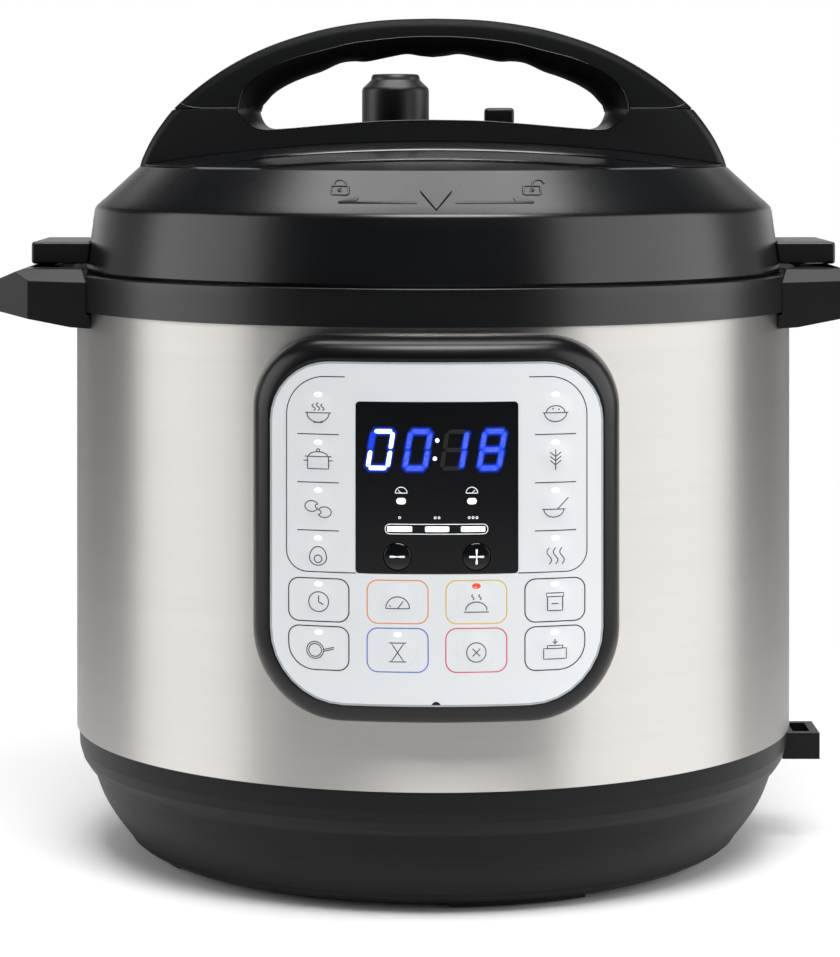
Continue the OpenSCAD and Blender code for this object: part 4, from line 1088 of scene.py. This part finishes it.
marks, strokes, bars = shoulderMarks, [], shoulderMarks["headBars"]
for sign in (-1, 1):
    inner, outer, z = sign * marks["arrowIn"], sign * marks["arrowOut"], marks["arrowZ"]
    head = outer - sign * marks["headLength"]
    back = head + sign * marks["headNotch"]
    strokes.append([(inner, z), (outer, z)])
    for i in range(bars + 1):
        end = (head + (back - head) * i / bars, z + marks["headRise"] * (1 - i / bars))
        strokes.append([(outer, z + marks["tipLift"]), end])
inkPieces = {"shoulderArrows": (strokes, marks["stroke"]),
             "shoulderPadlocks": (padlock(-marks["lockX"], marks["lockZ"], False)
                                  + padlock(marks["lockX"], marks["lockZ"], True), marks["lockStroke"])}
for name, (paths, width) in inkPieces.items():
    wrapped = wrapOnShoulder(strokeMesh(paths, width, marks["relief"]))
    newPiece(name, wrapped, satinBlack, "lid", slotName="lid_plastic")


# Steam knob with its lever
knobSketch = {
    "bottom": 269.3, "radius": 13.5, "bore": 9.0, "boreTop": 20, "round": 2.6, "roundZ": 20.4,
    "roundTurns": (0, 15, 30, 45, 58), "footChamfer": (0.4, 0.5),
    "cap": [(9.9, 25.0), (9.7, 26.2), (9.2, 27.1), (8.4, 27.4), (7.4, 27.1), (6.0, 26.5), (0, 26.2)],
    "leverX": (8.0, 47.6), "leverZ": (1.4, 7.4), "leverHalf": 5.8, "nubX": (35.8, 47.6), "nubZ": (7.0, 13.8),
}


def turnedSolid(profile, place=(0, 0), steps=64):
    bm = spinProfile([(r, 0, z) for r, z in profile], (0, 0, 1), steps)
    bmesh.ops.translate(bm, vec=(*place, 0), verts=bm.verts)
    return bm


k, z0 = knobSketch, knobSketch["bottom"]
turns = [math.radians(a) for a in k["roundTurns"]]
corner = [(k["radius"] - k["round"] + k["round"] * math.cos(a), z0 + k["roundZ"] + k["round"] * math.sin(a))
          for a in turns]
cap = [(r, z0 + z) for r, z in k["cap"]]
inward, upward = k["footChamfer"]
foot = [(k["bore"], z0 + k["boreTop"]), (k["bore"], z0), (k["radius"] - inward, z0),
        (k["radius"], z0 + upward)]
knobX, knobY = lid["knob"]
body = inMetres(turnedSolid(foot + corner + cap, lid["knob"]))
newPiece("knobBody", body, knobBlack, "knob", ["steam_knob"], "knob_plastic")


def knobBlock(spanX, spanZ):
    return inMetres(block((knobX + spanX[0], knobY - k["leverHalf"], z0 + spanZ[0]),
                          (knobX + spanX[1], knobY + k["leverHalf"], z0 + spanZ[1])))


for name, part, width, segments in (("knobLever", "lever", 1.0, 3), ("knobNub", "nub", 1.5, 4)):
    bar = knobBlock(k[part + "X"], k[part + "Z"])
    addBevel(newPiece(name, bar, knobBlack, "knob", slotName="knob_plastic"), width, segments)
print("shoulder marks and knob made")


# Panel bezel
bezelSketch = {
    "width": 126.5, "height": 131.0, "middle": 138.2, "inWidth": 6.9, "inHeight": 7.9,
    "topCorner": (25.0, 19.5), "lowCorner": (31.0, 24.5), "cornerSteps": 14, "sideSteps": 16,
    # share of the way in, and radius of the surface, from the steel over the rounded edge to the film
    "section": [(-0.02, 136.4), (0.0, 142.0), (0.02, 144.6), (0.06, 146.4), (0.13, 147.9), (0.22, 149.0),
                (0.34, 149.9), (0.48, 150.5), (0.64, 150.9), (0.8, 151.1), (0.9, 151.15), (0.95, 150.9),
                (0.98, 150.3),
                (1.02, 149.0)],
}


def spread(start, end, count):
    return [tuple(a + (b - a) * i / count for a, b in zip(start, end)) for i in range(1, count)]


def bezelLoops():
    s = bezelSketch
    loops = []
    for share, radius in s["section"]:
        halfX, halfZ = s["width"] / 2 - s["inWidth"] * share, s["height"] / 2 - s["inHeight"] * share
        top, low = (a + (b - a) * max(share, 0) for a, b in (s["topCorner"], s["lowCorner"]))
        corners = roundedLoop(-halfX, s["middle"] - halfZ, halfX, s["middle"] + halfZ,
                              [low, low, top, top], s["cornerSteps"])[:-1]
        outline = []
        for i, point in enumerate(corners):
            outline.append(point)
            if i % (s["cornerSteps"] + 1) == s["cornerSteps"]:
                outline += spread(point, corners[(i + 1) % len(corners)], s["sideSteps"])
        loops.append([(x, -math.sqrt(radius ** 2 - x * x), z) for x, z in outline])
    return loops


newPiece("panelBezel", inMetres(loftLoops(bezelLoops())), bezelBlack, "housing", ["panel_bezel"],
         "bezel_plastic", sharp=50)
filmEdge = {"halfX": 56.5, "halfZ": 57.8, "middle": 137.7, "top": 20.0, "low": 25.0, "stroke": 0.7}
edgeLoop = roundedLoop(-filmEdge["halfX"], filmEdge["middle"] - filmEdge["halfZ"], filmEdge["halfX"],
                       filmEdge["middle"] + filmEdge["halfZ"],
                       [filmEdge["low"], filmEdge["low"], filmEdge["top"], filmEdge["top"]])
inkPiece("filmEdge", strokeMesh([edgeLoop], filmEdge["stroke"], 0.1), filmGrey, 0.02, "housing",
         "panel_silver", 3.0)
notchSketch = {"radius": 1.6, "x": -0.3, "z": 79.7, "low": 79.9}
notch = addDisc(bmesh.new(), notchSketch["radius"], 20, notchSketch["x"], notchSketch["z"])
sliceAt(notch, (0, 0, notchSketch["low"]), (0, 0, 1), clear_inner=True)
inkPiece("bezelNotch", notch, bezelBlack, 0.04, "housing", "bezel_plastic")
print("bezel made")


# Softened mouldings
softMouldings = {
    "lid_fins": {"material": finBlack, "width": 1.1, "slotName": "lid_plastic"},
    "side_handles": {"material": handleBlack, "width": 0.9, "slotName": "ring_plastic"},
    "condensation_collector": {"material": clearCup, "width": 0.7, "slotName": "collector_plastic"},
}


# A copy of a CAD node with its flat faces joined up and its edges rounded
def softCopy(name, material, width, slotName):
    node = frame["nodes"][name]
    bm = bmesh.new()
    bm.from_mesh(node.data)
    bmesh.ops.remove_doubles(bm, verts=bm.verts, dist=1e-6)
    bmesh.ops.dissolve_limit(bm, angle_limit=math.radians(1.0), verts=bm.verts, edges=bm.edges)
    return addBevel(newPiece(name + "Soft", bm, material, node["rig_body"], [name], slotName), width, 3, 35)


for name, sketch in softMouldings.items():
    softCopy(name, **sketch)
print("mouldings softened")


# Crisp edges of the lid and the ring
def cornerRound(corner, fromPoint, toPoint, radius, count=5):
    corner, a, b = Vector(corner), Vector(fromPoint), Vector(toPoint)
    a, b = corner + (a - corner).normalized() * radius, corner + (b - corner).normalized() * radius
    return [tuple(a * (1 - t) ** 2 + corner * 2 * t * (1 - t) + b * t ** 2)
            for t in [i / count for i in range(count + 1)]]


def turnedEdge(name, low, corner, high, radius, inside, *finish):
    profile = [low] + cornerRound(corner, low, high, radius) + [high] + inside
    newPiece(name, inMetres(turnedSolid(profile + profile[:1], steps=256)), *finish, sharp=50)


lidEdge = {"low": (131.16, 238.9), "corner": (130.3, 244.7), "high": (127.1, 247.66), "radius": 1.3,
           "inside": [(-0.9, -0.9), (-1.5, -1.2), (-1.0, 0)]}
low, corner, high = lidEdge["low"], lidEdge["corner"], lidEdge["high"]
inside = [(x + dx, z + dz) for (x, z), (dx, dz) in zip((high, corner, low), lidEdge["inside"])]
turnedEdge("lidEdge", low, corner, high, lidEdge["radius"], inside, satinBlack, "lid", (), "lid_plastic")
ringEdge = {"radius": 138.8, "top": 219.9, "round": 0.5, "proud": (0.04, 0.03), "skirt": 3.2, "shelf": 3.4,
            "shelfThick": 0.5, "skirtThick": 2.8}
e = ringEdge
low = (e["radius"] + e["proud"][0], e["top"] - e["skirt"])
high = (e["radius"] - e["shelf"], e["top"] + e["proud"][1])
inside = [(high[0], high[1] - e["shelfThick"]), (low[0] - e["skirtThick"], low[1])]
turnedEdge("ringEdge", low, (low[0], high[1]), high, e["round"], inside, ringBlack, "housing", (),
           "ring_plastic")
print("lid and ring edges made")
